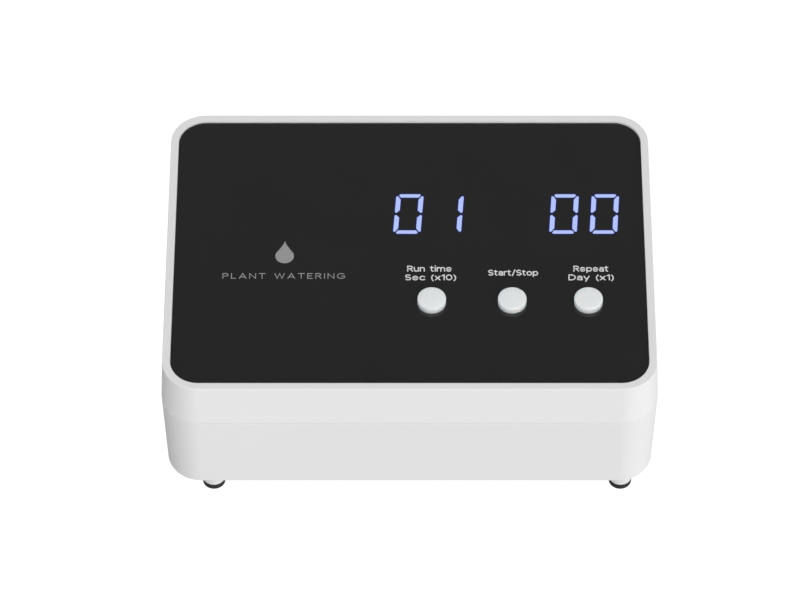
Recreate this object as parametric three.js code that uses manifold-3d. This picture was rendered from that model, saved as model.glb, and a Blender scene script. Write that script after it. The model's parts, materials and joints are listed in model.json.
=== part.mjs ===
// Irrigation controller: a table-top box with a two-group digit display, three push buttons,
// a micro diaphragm pump, four AA cells behind a bottom door, two hose barbs and a USB-C inlet.
// Millimetres, +Z up, front towards -Y. The floor is z = 0.
import * as THREE from "three";
import { mergeVertices } from "three/addons/utils/BufferGeometryUtils.js";
import Module from "manifold-3d";

const wasm = await Module();
wasm.setup();

// ---------------------------------------------------------------- driving dimensions
// Housing
const topWidth = 133.4;
const topDepth = 96.8;
const topCorner = 9.5;
const seamDraft = 0.72; // how far the seam stands out beyond the top, on each side
const baseDraft = 0.77; // how far the base draws in from the seam, on each side
const padHeight = 1.9;
const postHeight = 5.0;
const bodyHeight = 41.65;
const seamHeight = 27.2;
const wall = 2.0;
const rimWidth = 2.13;
const rimRound = 0.4;
const seamGap = 0.05;
const seatGap = 0.1; // between an inner piece and what it rests on
const rootDepth = 0.5; // how deep a boss, rib or post runs into the wall that it stands on
const past = 1; // how far a cutter runs past the face that it cuts
const barbReach = 10.9; // how far the hose barbs stand out behind the housing
const seamWidth = topWidth + 2 * seamDraft;
const seamDepth = topDepth + 2 * seamDraft;
const baseZ = padHeight + postHeight;
const floorZ = baseZ + wall;
const seamZ = baseZ + seamHeight;
const topZ = baseZ + bodyHeight;

// Front panel and the deck that carries it
const panelDrop = 0.72;
const panelThick = 1.5;
const panelGap = 0.1;
const deckThick = 1.6;
const panelTop = topZ - panelDrop;
const deckTop = panelTop - panelThick - panelGap / 2;
const deckUnder = deckTop - deckThick;

// Buttons
const buttonX = [6.0, 27.9, 48.65];
const buttonY = -18.0;
const buttonRadius = 3.9;
const buttonProud = 1.8;
const buttonFlange = 5.0;
const buttonRound = 0.3;

// Displays
const displayX = [5.65, 48.9];
const displayY = 13.2;
const displaySize = [25.0, 19.0];

// Control board, hung under the deck
const boardTop = 38.9;
const boardThick = 1.6;
const boardLeft = -20;
const boardRight = 62;
const boardFront = -30;
const boardRear = 37;
const usbX = -8;
const pegPlaces = [[-16.5, -26.5], [58.5, 33.0]];
const boardScrewPlaces = [[-16.5, 33.0], [58.5, -26.5]];

// Feet and case screws share their axes
const footX = [-54.1, 58.2];
const footY = 42.95;
const footRadius = 3.2;
const columnRadius = 3.7;
const footPlaces = {
  front_left: [footX[0], -footY],
  front_right: [footX[1], -footY],
  rear_left: [footX[0], footY],
  rear_right: [footX[1], footY],
};

// Four AA cells side by side, with their axes along Y
const cellRadius = 7.25;
const cellLength = 50.5;
const nubLength = 1.0;
const cellPitch = 14.7;
const bayX = -33.5;
const cellZ = floorZ + 0.75 + cellRadius;
const bayWidth = 3 * cellPitch + 2 * cellRadius + 0.8;
const bayDepth = 58.0;
const bayWall = 1.6;
const bayCeiling = cellZ + cellRadius + 0.6;
const cellX = [0, 1, 2, 3].map((i) => bayX + (i - 1.5) * cellPitch);
const doorWidth = 57.6;
const doorDepth = 55.4;
const doorGap = 0.3;
const doorThick = 1.8;

// Pump, with its axis along Y
const pumpX = 33;
const pumpZ = 23;
const motorRadius = 12.2;
const motorFront = -39;
const motorRear = -8.5;
const pumpRadius = 13;
const shaftRadius = 1.0;
const fit = 0.1; // radial gap between a shaft, pin or spigot and what holds it
const pivotY = 7; // where the drive pin's axis crosses the motor's axis
const pinTilt = THREE.MathUtils.degToRad(7);
const pinRadius = 0.75;
const headY = 13.4;
const nozzleOffset = [-7.5, 0];
const strapY = [-31, -19];
const strapMiddle = (strapY[0] + strapY[1]) / 2;
const strapScrewX = [pumpX - 16, pumpX + 16];
const strapInner = motorRadius + 0.3;

// Hose barbs in the rear wall
const barbX = [23, 42];
const barbZ = 16;
const hoseBore = 1.3;
const spigotRadius = 2.1;
const barbStem = 3.3;
const barbShoulder = 2.8;
const barbCrest = 2.75;
const barbValley = 2.0;
const barbTip = 1.7;
const stemReach = 1.4; // from the rear wall, as are the crests
const crestReach = [2.4, 5.2, 8.0];

// Pan-head screws
const caseScrew = { head: 2.0, shank: 1.1, length: 9.5, headHeight: 1.5, pointUp: true };
const boardScrew = { head: 1.9, shank: 0.8, length: 5.5, headHeight: 1.2, pointUp: true };
const strapScrew = { head: 2.0, shank: 0.95, length: 8, headHeight: 1.4, pointUp: false };

const fine = 20; // sides of a large round
const coarse = 8; // sides of a small round
const tiny = 6; // sides of a port or a screw hole
const footSides = 14;
const barbSides = 12;
const cellSides = 12;

// ---------------------------------------------------------------- materials
function finish(color, roughness, metalness = 0) {
  return new THREE.MeshStandardMaterial({ color, roughness, metalness });
}

const whitePlastic = finish(0xe9e9e8, 0.55);
const blackPanel = finish(0x242424, 0.5);
const blackRubber = finish(0x262626, 0.85);
const greyPlastic = finish(0x8a8d90, 0.6);
const blackPlastic = finish(0x1c1c1e, 0.5);
const boardGreen = finish(0x1f5a34, 0.5);
const steel = finish(0xb8babd, 0.35, 1);
const cellJacket = finish(0x2e4f7a, 0.4);
const silicone = finish(0xd9dcd8, 0.4);
const magnetGrey = finish(0x3c3c40, 0.7);
const copper = finish(0xb46a3a, 0.4, 1);
const cableRed = finish(0xa02822, 0.5);

// ---------------------------------------------------------------- solids
function solid(geometry) {
  const bare = geometry.clone();
  bare.deleteAttribute("normal");
  bare.deleteAttribute("uv");
  const merged = mergeVertices(bare, 1e-4);
  const corners = merged.index.array;
  const triangles = [];
  for (let i = 0; i < corners.length; i += 3) {
    const [a, b, c] = corners.slice(i, i + 3);
    if (a !== b && b !== c && c !== a) triangles.push(a, b, c);
  }
  return new wasm.Manifold(
    new wasm.Mesh({
      numProp: 3,
      vertProperties: new Float32Array(merged.attributes.position.array),
      triVerts: new Uint32Array(triangles),
    }),
  );
}

function geometryOf(body) {
  const mesh = body.getMesh();
  const geometry = new THREE.BufferGeometry();
  geometry.setAttribute("position", new THREE.BufferAttribute(mesh.vertProperties, 3));
  geometry.setIndex(new THREE.BufferAttribute(mesh.triVerts, 1));
  return geometry;
}

function joined(...bodies) {
  return bodies.reduce((whole, body) => whole.add(body));
}

function roundRect(x, y, width, depth, radius) {
  const shape = new THREE.Shape();
  const right = x + width / 2 - radius;
  const left = x - width / 2 + radius;
  const rear = y + depth / 2 - radius;
  const front = y - depth / 2 + radius;
  shape.absarc(right, rear, radius, 0, Math.PI / 2);
  shape.absarc(left, rear, radius, Math.PI / 2, Math.PI);
  shape.absarc(left, front, radius, Math.PI, 1.5 * Math.PI);
  shape.absarc(right, front, radius, 1.5 * Math.PI, 2 * Math.PI);
  return shape;
}

function slabGeometry(shape, bottom, top, curveSegments = 3) {
  const options = { depth: top - bottom, bevelEnabled: false, curveSegments };
  return new THREE.ExtrudeGeometry(shape, options).translate(0, 0, bottom);
}

function slab(shape, bottom, top, curveSegments) {
  return solid(slabGeometry(shape, bottom, top, curveSegments));
}

// A box by its limits: [left, right], [front, rear], [bottom, top].
function box([x0, x1], [y0, y1], [z0, z1]) {
  const geometry = new THREE.BoxGeometry(x1 - x0, y1 - y0, z1 - z0);
  return solid(geometry.translate((x0 + x1) / 2, (y0 + y1) / 2, (z0 + z1) / 2));
}

function upright(x, y, radius, bottom, top, sides = coarse) {
  const geometry = new THREE.CylinderGeometry(radius, radius, top - bottom, sides);
  return solid(geometry.rotateX(Math.PI / 2).translate(x, y, (bottom + top) / 2));
}

function lengthwise(x, z, radius, front, rear, sides = coarse) {
  const geometry = new THREE.CylinderGeometry(radius, radius, rear - front, sides);
  return solid(geometry.translate(x, (front + rear) / 2, z));
}

// A turned piece: [radius, height] pairs from the low end to the high end, round the Y axis.
function turnedGeometry(profile, sides = fine) {
  const points = profile.map(([radius, height]) => new THREE.Vector2(radius, height));
  return new THREE.LatheGeometry(points, sides);
}

function turnedUpright(profile, x, y, sides) {
  return solid(turnedGeometry(profile, sides).rotateX(Math.PI / 2).translate(x, y, 0));
}

function turnedLengthwise(profile, x, z, sides) {
  return solid(turnedGeometry(profile, sides).translate(x, 0, z));
}

// The housing's outline at a height: widest at the seam, drawn in above and below it.
function outlineAt(z, inset = 0) {
  const above = z >= seamZ;
  const span = above ? topZ - seamZ : seamZ - baseZ;
  const draft = (above ? seamDraft : baseDraft) * (Math.abs(z - seamZ) / span);
  return {
    width: seamWidth - 2 * (draft + inset),
    depth: seamDepth - 2 * (draft + inset),
    radius: topCorner + seamDraft - draft - inset,
    z,
  };
}

function outlineShape(outline) {
  return roundRect(0, 0, outline.width, outline.depth, outline.radius);
}

// A block between two rounded-rectangle outlines at different heights.
function drafted(low, high) {
  const geometry = slabGeometry(outlineShape(low), low.z, high.z);
  const position = geometry.attributes.position;
  const middle = (low.z + high.z) / 2;
  for (let i = 0; i < position.count; i += 1) {
    if (position.getZ(i) > middle) {
      const sideX = Math.sign(position.getX(i));
      const sideY = Math.sign(position.getY(i));
      const fromX = sideX * (low.width / 2 - low.radius);
      const fromY = sideY * (low.depth / 2 - low.radius);
      const growth = high.radius / low.radius;
      position.setX(i, sideX * (high.width / 2 - high.radius) + (position.getX(i) - fromX) * growth);
      position.setY(i, sideY * (high.depth / 2 - high.radius) + (position.getY(i) - fromY) * growth);
    }
  }
  return solid(geometry);
}

// ---------------------------------------------------------------- the assembly
const controller = new THREE.Group();
const housing = new THREE.Group();
housing.position.set(0, -barbReach / 2, 0);
controller.add(housing);

function add(name, body, material, group = housing) {
  const mesh = new THREE.Mesh(geometryOf(body), material.clone());
  mesh.name = name;
  group.add(mesh);
  return mesh;
}

// ---------------------------------------------------------------- housing shells
const panelWidth = topWidth - 2 * rimWidth;
const panelDepth = topDepth - 2 * rimWidth;
const panelCorner = topCorner - rimWidth + rimRound;
const lipGap = 0.15;
const lipThick = 1.2;
const lipHeight = 2.0;
const lipRootDepth = 2.5;
const usbSize = [8.94, 3.16];
const usbZ = boardTop + seatGap + usbSize[1] / 2;
const usbSlotGap = 0.35;
const usbSlotCorner = 1.8;
const bossRadius = 3.0;
const screwSeat = seamZ - 2; // the inner ledge that a case screw's head pulls on
const bossRoof = 1.5; // solid plastic left between a screw hole and the deck
const standoffRadius = 2.6;
const pegRadius = 1.1;
const boardPilot = 0.9;
const deckHoleGap = 0.4; // round a button
const windowGap = 0.3; // round a display

function upperShell() {
  const low = { ...outlineAt(seamZ), z: seamZ + seamGap };
  const shoulder = outlineAt(topZ - rimRound);
  const brim = outlineAt(topZ, rimRound);
  const hollowLow = { ...outlineAt(seamZ, wall), z: seamZ - past };
  let shell = drafted(low, shoulder).add(drafted(shoulder, brim));
  shell = shell.subtract(drafted(hollowLow, outlineAt(deckUnder, wall)));
  shell = shell.subtract(slab(roundRect(0, 0, panelWidth, panelDepth, panelCorner), deckTop, topZ + past));
  for (const [x, y] of Object.values(footPlaces)) {
    shell = shell.add(upright(x, y, bossRadius, seamZ + seamGap, deckUnder + rootDepth));
    shell = shell.subtract(upright(x, y, caseScrew.shank + fit, seamZ - past, deckUnder - bossRoof));
  }
  for (const [x, y] of [...pegPlaces, ...boardScrewPlaces]) {
    shell = shell.add(upright(x, y, standoffRadius, boardTop + seatGap, deckUnder + rootDepth));
  }
  for (const [x, y] of pegPlaces) {
    const pegFoot = boardTop - boardThick - 0.4;
    shell = shell.add(upright(x, y, pegRadius, pegFoot, boardTop + past));
  }
  for (const [x, y] of boardScrewPlaces) {
    shell = shell.subtract(upright(x, y, boardPilot, boardTop - past, deckUnder - rootDepth));
  }
  for (const x of buttonX) {
    const hole = upright(x, buttonY, buttonRadius + deckHoleGap, deckUnder - past, deckTop + past);
    shell = shell.subtract(hole);
  }
  const [width, depth] = displaySize;
  for (const x of displayX) {
    const window = roundRect(x, displayY, width + 2 * windowGap, depth + 2 * windowGap, 0.5);
    shell = shell.subtract(slab(window, deckUnder - past, deckTop + past));
  }
  const usbSlot = roundRect(0, 0, usbSize[0] + 2 * usbSlotGap, usbSize[1] + 2 * usbSlotGap, usbSlotCorner);
  const usbHole = slabGeometry(usbSlot, 0, 2 * wall, 5).rotateX(Math.PI / 2);
  return shell.subtract(solid(usbHole.translate(usbX, seamDepth / 2 + past, usbZ)));
}

// Two ribs across the motor, tied by a web and a screw boss on each side.
function pumpCradle() {
  const ribThick = 2;
  const webHalf = 0.8;
  const root = floorZ - rootDepth;
  const ribTop = pumpZ - 1;
  const bossTop = pumpZ - 0.8;
  const [front, rear] = strapY;
  const sides = strapScrewX.map((x) =>
    box([x - webHalf, x + webHalf], [front + 1, rear - 1], [root, ribTop]).add(
      upright(x, strapMiddle, bossRadius, root, bossTop),
    ),
  );
  const ribs = [front, rear - ribThick].map((y) => box(strapScrewX, [y, y + ribThick], [root, ribTop]));
  let cradle = joined(...ribs, ...sides);
  cradle = cradle.subtract(lengthwise(pumpX, pumpZ, strapInner, front - past, rear + past, fine));
  for (const x of strapScrewX) {
    cradle = cradle.subtract(upright(x, strapMiddle, strapScrew.shank + fit, pumpZ - 9, pumpZ));
  }
  return cradle;
}

function lowerShell() {
  const high = { ...outlineAt(seamZ), z: seamZ - seamGap };
  const bottomRound = 0.3;
  const scoopRadius = 8;
  const scoopDepth = 1.2;
  const barbHole = 3.5;
  const bottomEdge = outlineAt(baseZ, bottomRound);
  const aboveEdge = outlineAt(baseZ + bottomRound);
  let shell = drafted(bottomEdge, aboveEdge).add(drafted(aboveEdge, high));
  const hollowHigh = { ...outlineAt(seamZ, wall), z: seamZ + past };
  shell = shell.subtract(drafted(outlineAt(floorZ, wall), hollowHigh));
  // A lip inside the seam centres the upper shell.
  const lipRoot = outlineAt(seamZ, wall - 0.2);
  const lipOuter = outlineAt(seamZ, wall + lipGap);
  const lipInner = outlineAt(seamZ, wall + lipGap + lipThick);
  const rootZ = seamZ - lipRootDepth;
  const ring = slab(outlineShape(lipRoot), rootZ, seamZ - seamGap)
    .add(slab(outlineShape(lipOuter), rootZ, seamZ + lipHeight))
    .subtract(slab(outlineShape(lipInner), rootZ - past, topZ));
  shell = shell.add(ring);
  for (const [x, y] of Object.values(footPlaces)) {
    shell = shell.subtract(upright(x, y, bossRadius + 0.4, seamZ - seamGap, topZ));
    shell = shell.add(upright(x, y, columnRadius, floorZ - rootDepth, seamZ - seamGap));
    shell = shell.add(upright(x, y, footRadius, padHeight, floorZ, footSides));
    shell = shell.subtract(upright(x, y, caseScrew.head + 0.2, 0, screwSeat));
    shell = shell.subtract(upright(x, y, caseScrew.shank + 0.2, screwSeat - past, seamZ + past));
  }
  shell = shell.add(pumpCradle());
  const doorway = roundRect(bayX, 0, doorWidth + 2 * doorGap, doorDepth + 2 * doorGap, 1.5);
  shell = shell.subtract(slab(doorway, baseZ - past, floorZ + past, 4));
  // A shallow scoop in front of the door lets a fingertip reach its edge.
  const scoop = new THREE.SphereGeometry(scoopRadius, coarse, tiny);
  shell = shell.subtract(solid(scoop.translate(bayX, -doorDepth / 2, baseZ + scoopDepth - scoopRadius)));
  for (const x of barbX) {
    const rear = seamDepth / 2;
    shell = shell.subtract(lengthwise(x, barbZ, barbHole, rear - 3 * wall, rear + past, fine));
  }
  return shell;
}

add("upper_shell", upperShell(), whitePlastic);
add("lower_shell", lowerShell(), whitePlastic);

// ---------------------------------------------------------------- front panel
function frontPanel() {
  const [width, depth] = [panelWidth - 2 * panelGap, panelDepth - 2 * panelGap];
  const outline = roundRect(0, 0, width, depth, panelCorner - panelGap);
  let panel = slab(outline, deckTop + panelGap / 2, panelTop);
  for (const x of buttonX) {
    const hole = upright(x, buttonY, buttonRadius + 0.2, deckTop - past, panelTop + past, fine);
    panel = panel.subtract(hole);
  }
  return panel;
}

add("front_panel", frontPanel(), blackPanel);

// ---------------------------------------------------------------- control board and what it carries
const boardZ = boardTop - boardThick;
const boardSeat = boardTop + seatGap;

function controlBoard() {
  const corner = 1.5;
  const tongueHalf = 12;
  const tongueRear = 44;
  const [midX, midY] = [(boardLeft + boardRight) / 2, (boardFront + boardRear) / 2];
  const outline = roundRect(midX, midY, boardRight - boardLeft, boardRear - boardFront, corner);
  const tongueWidth = [usbX - tongueHalf, usbX + tongueHalf];
  const tongue = box(tongueWidth, [boardRear - past, tongueRear], [boardZ, boardTop]);
  let board = slab(outline, boardZ, boardTop).add(tongue);
  for (const [x, y] of pegPlaces) {
    board = board.subtract(upright(x, y, pegRadius + 0.2, boardZ - past, boardTop + past));
  }
  for (const [x, y] of boardScrewPlaces) {
    board = board.subtract(upright(x, y, boardScrew.shank + 0.3, boardZ - past, boardTop + past));
  }
  return board;
}

function usbReceptacle() {
  const [width, height] = usbSize;
  const mouth = seamDepth / 2 - 0.6;
  const rear = mouth - 7.3;
  const sheet = 0.3;
  const corner = 1.5;
  const across = (w, h, r, from, to) => {
    const geometry = slabGeometry(roundRect(0, 0, w, h, r), 0, to - from, 2);
    return solid(geometry.rotateX(Math.PI / 2).translate(usbX, to, usbZ));
  };
  const hollow = across(width - 2 * sheet, height - 2 * sheet, corner - sheet, rear + 1, mouth + past);
  const tongue = across(6.7, 0.7, 0.3, rear + 0.5, mouth - 1.6);
  return across(width, height, corner, rear, mouth).subtract(hollow).add(tongue);
}

function radioModule() {
  const baseTop = boardSeat + 0.8;
  const shieldTop = boardSeat + 2.9;
  const base = box([-19, -5], [-22, -2], [boardSeat, baseTop]);
  const shield = box([-18.2, -5.8], [-15.5, -2.8], [baseTop - fit, shieldTop]);
  return base.add(shield);
}

add("control_board", controlBoard(), boardGreen);
add("usb_c_receptacle", usbReceptacle(), steel);
add("radio_module", radioModule(), steel);
displayX.forEach((x, i) => {
  const [width, depth] = displaySize;
  const block = slab(roundRect(x, displayY, width, depth, 0.3), boardSeat, deckTop - seatGap, 2);
  add(["left_display", "right_display"][i], block, blackPlastic);
});

// ---------------------------------------------------------------- buttons and their switches
const buttonNames = ["run_time", "start_stop", "interval"];
const buttonTop = panelTop + buttonProud;
const plungerTop = deckUnder - 1.2;
const plungerRadius = 1.7;

function buttonCap(x) {
  const flangeTop = deckUnder - seatGap;
  const flangeFoot = flangeTop - 0.7;
  const stemFoot = plungerTop + seatGap;
  const stemRadius = 1.5;
  const profile = [
    [0, stemFoot],
    [stemRadius, stemFoot],
    [stemRadius, flangeFoot],
    [buttonFlange, flangeFoot],
    [buttonFlange, flangeTop],
    [buttonRadius, flangeTop],
    [buttonRadius, buttonTop - buttonRound],
    [buttonRadius - 0.3 * buttonRound, buttonTop - 0.3 * buttonRound],
    [buttonRadius - buttonRound, buttonTop],
    [0, buttonTop],
  ];
  return turnedUpright(profile, x, buttonY, fine);
}

// A tact switch's case, open at the top for its plunger.
function switchBody(x) {
  const half = 3.0;
  const height = 3.5;
  const wellDepth = 1.7;
  const top = boardSeat + height;
  const body = box([x - half, x + half], [buttonY - half, buttonY + half], [boardSeat, top]);
  return body.subtract(upright(x, buttonY, plungerRadius + 0.15, top - wellDepth, top + past));
}

function switchPlunger(x) {
  return upright(x, buttonY, plungerRadius, boardSeat + 2.6, plungerTop);
}

buttonX.forEach((x, i) => {
  add(buttonNames[i] + "_button", buttonCap(x), whitePlastic);
  add(buttonNames[i] + "_plunger", switchPlunger(x), blackPlastic);
  add(buttonNames[i] + "_switch", switchBody(x), steel);
});

// ---------------------------------------------------------------- feet and screws
// A round pad with a plug that presses into the foot's screw well.
function footPad([x, y]) {
  const pad = upright(x, y, footRadius, 0, padHeight - seatGap, footSides);
  return pad.add(upright(x, y, caseScrew.head, padHeight / 2, baseZ));
}

// A pan-head screw with its point up or down, seated where its head meets what it holds.
function screw(x, y, seat, { head, shank, length, headHeight, pointUp }) {
  const way = pointUp ? 1 : -1;
  const profile = [
    [0, -headHeight],
    [head, -headHeight],
    [head, 0],
    [shank, 0],
    [shank, length - shank],
    [0, length],
  ];
  const geometry = turnedGeometry(profile, coarse).rotateX((way * Math.PI) / 2);
  return solid(geometry.translate(x, y, seat));
}

for (const [place, at] of Object.entries(footPlaces)) {
  add("foot_pad_" + place, footPad(at), blackRubber);
  add("case_screw_" + place, screw(...at, screwSeat - seatGap, caseScrew), steel);
}

boardScrewPlaces.forEach((at, i) => {
  add(["board_screw_left", "board_screw_right"][i], screw(...at, boardZ - seatGap, boardScrew), steel);
});

// ---------------------------------------------------------------- battery bay
const bayHalf = bayDepth / 2;
const bayTopZ = bayCeiling + bayWall;
const contactInset = 0.2;
const contactSheet = 0.4;
const contactHalf = 3; // half of a plate's width along X
const noseCrest = 1.6;
const flatCrest = 0.6;

function batteryTray() {
  const outerWall = 0.9; // beside the housing's own wall
  const [left, right] = [bayX - bayWidth / 2, bayX + bayWidth / 2];
  const endWalls = [-bayHalf - bayWall, bayHalf + bayWall];
  const outside = box([left - outerWall, right + bayWall], endWalls, [floorZ + seatGap, bayTopZ]);
  const inside = box([left, right], [-bayHalf, bayHalf], [floorZ - past, bayCeiling]);
  let tray = outside.subtract(inside);
  // Low ribs on the ceiling keep the cells apart.
  const ribDepth = 2.6;
  const ribLength = 40;
  const ribTip = 0.5;
  const ribOutline = [
    [-ribDepth, 0.3],
    [-ribTip, -ribDepth],
    [ribTip, -ribDepth],
    [ribDepth, 0.3],
  ];
  const rib = new THREE.Shape(ribOutline.map(([x, z]) => new THREE.Vector2(x, z)));
  for (const i of [0, 1, 2]) {
    const bar = slabGeometry(rib, -ribLength / 2, ribLength / 2).rotateX(Math.PI / 2);
    tray = tray.add(solid(bar.translate((cellX[i] + cellX[i + 1]) / 2, 0, bayCeiling)));
  }
  return tray;
}

function batteryCell(x, noseRear) {
  const half = cellLength / 2;
  const edge = 0.6;
  const nubRadius = 2.7;
  const profile = [
    [0, -half],
    [cellRadius - edge, -half],
    [cellRadius, -half + edge],
    [cellRadius, half - nubLength - edge],
    [cellRadius - edge, half - nubLength],
    [nubRadius, half - nubLength],
    [nubRadius, half],
    [0, half],
  ];
  const geometry = turnedGeometry(profile, cellSides);
  if (!noseRear) geometry.rotateX(Math.PI);
  return solid(geometry.translate(x, 0, cellZ));
}

// One contact plate at an end wall, bent out to the cell: narrow for a flat end, wide for a nose.
function contactPlate(x, side, crest) {
  const wallY = bayHalf - contactInset;
  const front = wallY - contactSheet;
  const reach = front - cellLength / 2 - seatGap;
  const half = 4.6;
  const points = [
    [wallY, -half],
    [front, -half],
    [front - reach, -crest],
    [front - reach, crest],
    [front, half],
    [wallY, half],
    [wallY - reach, crest],
    [wallY - reach, -crest],
  ];
  const shape = new THREE.Shape(points.map(([y, z]) => new THREE.Vector2(y, z)));
  // The shape's first axis becomes Y and its second becomes Z.
  const sheet = slabGeometry(shape, -contactHalf, contactHalf);
  const geometry = sheet.rotateX(Math.PI / 2).rotateZ(Math.PI / 2);
  if (side < 0) geometry.rotateZ(Math.PI);
  return solid(geometry.translate(x, 0, cellZ));
}

// Contact plates on one end wall, each [cell, crest], joined by a strip along their upper edge.
function contacts(side, ...list) {
  const plates = list.map(([cell, crest]) => contactPlate(cellX[cell], side, crest));
  const left = cellX[list[0][0]] - contactHalf;
  const right = cellX[list.at(-1)[0]] + contactHalf;
  const wallY = side * (bayHalf - contactInset);
  const inner = wallY - side * contactSheet;
  const across = [Math.min(inner, wallY), Math.max(inner, wallY)];
  return joined(...plates, box([left, right], across, [cellZ + 4.0, cellZ + 5.4]));
}

// A plate with two hooks that reach over the doorway's rear edge.
function batteryDoor() {
  const plate = slab(roundRect(bayX, 0, doorWidth, doorDepth, 1.2), baseZ, baseZ + doorThick, 4);
  const hookHalf = 4;
  const hookThick = 1.1;
  const rear = doorDepth / 2;
  const root = rear - 1.8;
  const low = floorZ + 0.15;
  const hooks = [-cellPitch, cellPitch].map((offset) => {
    const across = [bayX + offset - hookHalf, bayX + offset + hookHalf];
    const riser = box(across, [root, rear - 0.1], [baseZ + 1, low + hookThick]);
    return riser.add(box(across, [root, rear + 1.0], [low, low + hookThick]));
  });
  return joined(plate, ...hooks);
}

add("battery_tray", batteryTray(), greyPlastic);
add("battery_door", batteryDoor(), whitePlastic);
cellX.forEach((x, i) => add("battery_cell_" + (i + 1), batteryCell(x, i % 2 === 0), cellJacket));
add("contact_positive", contacts(1, [0, noseCrest]), steel);
add("contact_rear_link", contacts(1, [1, flatCrest], [2, noseCrest]), steel);
add("contact_negative", contacts(1, [3, flatCrest]), steel);
add("contact_front_left_link", contacts(-1, [0, flatCrest], [1, noseCrest]), steel);
add("contact_front_right_link", contacts(-1, [2, flatCrest], [3, noseCrest]), steel);

// ---------------------------------------------------------------- pump motor
const canWall = 0.8;
const canInner = motorRadius - canWall;
const shaftHole = shaftRadius + fit;
const endBellFront = motorFront - 1.6;
const third = (2 * Math.PI) / 3;

function motorCan() {
  const edge = 0.6;
  const bearingRadius = 3;
  const bearingDepth = 3;
  const profile = [
    [canInner, motorFront],
    [motorRadius, motorFront],
    [motorRadius, motorRear - edge],
    [motorRadius - edge, motorRear],
    [shaftHole, motorRear],
    [shaftHole, motorRear - bearingDepth],
    [bearingRadius, motorRear - bearingDepth],
    [bearingRadius, motorRear - canWall],
    [canInner, motorRear - canWall],
    [canInner, motorFront],
  ];
  return turnedLengthwise(profile, pumpX, pumpZ);
}

function motorEndBell() {
  const brim = motorRadius - 0.3;
  const spigot = canInner - fit;
  const spigotEnd = motorFront + 1.5;
  const profile = [
    [shaftHole, endBellFront],
    [brim, endBellFront],
    [brim, motorFront - seatGap],
    [spigot, motorFront - seatGap],
    [spigot, spigotEnd],
    [shaftHole, spigotEnd],
    [shaftHole, endBellFront],
  ];
  return turnedLengthwise(profile, pumpX, pumpZ);
}

function motorMagnet() {
  const outer = canInner - fit;
  const inner = outer - 2.6;
  const [front, rear] = [-33, -14];
  const profile = [
    [inner, front],
    [outer, front],
    [outer, rear],
    [inner, rear],
    [inner, front],
  ];
  return turnedLengthwise(profile, pumpX, pumpZ);
}

// Three wound poles on a core, with the commutator in front of them.
function motorArmature() {
  const reach = 8.2;
  const [front, rear] = [-32, -15];
  const coreRadius = 3.6;
  const commutatorRadius = 2.4;
  const commutatorFront = -36.5;
  let core = lengthwise(pumpX, pumpZ, coreRadius, front, rear);
  for (const pole of [0, 1, 2]) {
    const web = new THREE.BoxGeometry(2.2, rear - front, 7).translate(0, 0, 4.2);
    const shoe = new THREE.BoxGeometry(11.5, rear - front, 1.8).translate(0, 0, 7.2);
    for (const piece of [web, shoe]) {
      piece.rotateY(pole * third).translate(pumpX, (front + rear) / 2, pumpZ);
      core = core.add(solid(piece));
    }
  }
  core = core.intersect(lengthwise(pumpX, pumpZ, reach, front - past, rear + past, fine));
  core = core.add(lengthwise(pumpX, pumpZ, commutatorRadius, commutatorFront, front + 1));
  return core.subtract(lengthwise(pumpX, pumpZ, shaftHole, commutatorFront - past, rear + past));
}

const hubFront = -6.8;
const hubRear = -2.2;
const shaftSeat = hubRear - 2; // how far the shaft reaches into the hub
const shaftFront = endBellFront - 0.6;
add("motor_can", motorCan(), steel);
add("motor_end_bell", motorEndBell(), blackPlastic);
add("motor_magnet", motorMagnet(), magnetGrey);
add("motor_armature", motorArmature(), copper);
add("motor_shaft", lengthwise(pumpX, pumpZ, shaftRadius, shaftFront, shaftSeat), steel);

// ---------------------------------------------------------------- wobble drive
// The drive pin's axis runs from the hub to the pivot point on the motor's axis, tilted towards +Z.
const drive = new THREE.Group();
drive.position.set(pumpX, pivotY, pumpZ);
drive.rotation.x = -pinTilt;
housing.add(drive);

const pinHole = pinRadius + fit;
const chamberOffset = 6.2; // from the pump's axis to each of its three chambers

function driveHub() {
  const hubRadius = 6;
  const socketLength = 10;
  const socketMiddle = -12.2; // along the pin's axis, from the pivot
  let hub = lengthwise(pumpX, pumpZ, hubRadius, hubFront, hubRear, fine);
  hub = hub.subtract(lengthwise(pumpX, pumpZ, shaftHole, hubFront - past, shaftSeat + seatGap));
  const bore = new THREE.CylinderGeometry(pinHole, pinHole, socketLength, coarse);
  bore.translate(0, socketMiddle, 0).rotateX(-pinTilt).translate(pumpX, pivotY, pumpZ);
  const socketDepth = lengthwise(pumpX, pumpZ, hubRadius - 1, hubRear - 1.7, hubRear + past);
  return hub.subtract(solid(bore).intersect(socketDepth));
}

// A disc on a blind hub, with a stud towards each pump chamber. Heights run along the pin's axis.
function wobblePlate() {
  const hubRadius = 2.4;
  const discRadius = 9;
  const [hubLow, hubHigh] = [-6.4, -1.6];
  const [discLow, discHigh] = [-4.6, -3.0];
  const holeEnd = -2.4;
  const profile = [
    [pinHole, hubLow],
    [hubRadius, hubLow],
    [hubRadius, discLow],
    [discRadius, discLow],
    [discRadius, discHigh],
    [hubRadius, discHigh],
    [hubRadius, hubHigh],
    [0, hubHigh],
    [0, holeEnd],
    [pinHole, holeEnd],
    [pinHole, hubLow],
  ];
  let plate = solid(turnedGeometry(profile));
  const studRadius = 1.8;
  const studLength = 2.6;
  for (const arm of [0, 1, 2]) {
    const stud = new THREE.CylinderGeometry(studRadius, studRadius, studLength, coarse);
    stud.translate(0, studLength / 2 - 3.4, chamberOffset);
    plate = plate.add(solid(stud.rotateY(arm * third)));
  }
  return plate;
}

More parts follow.
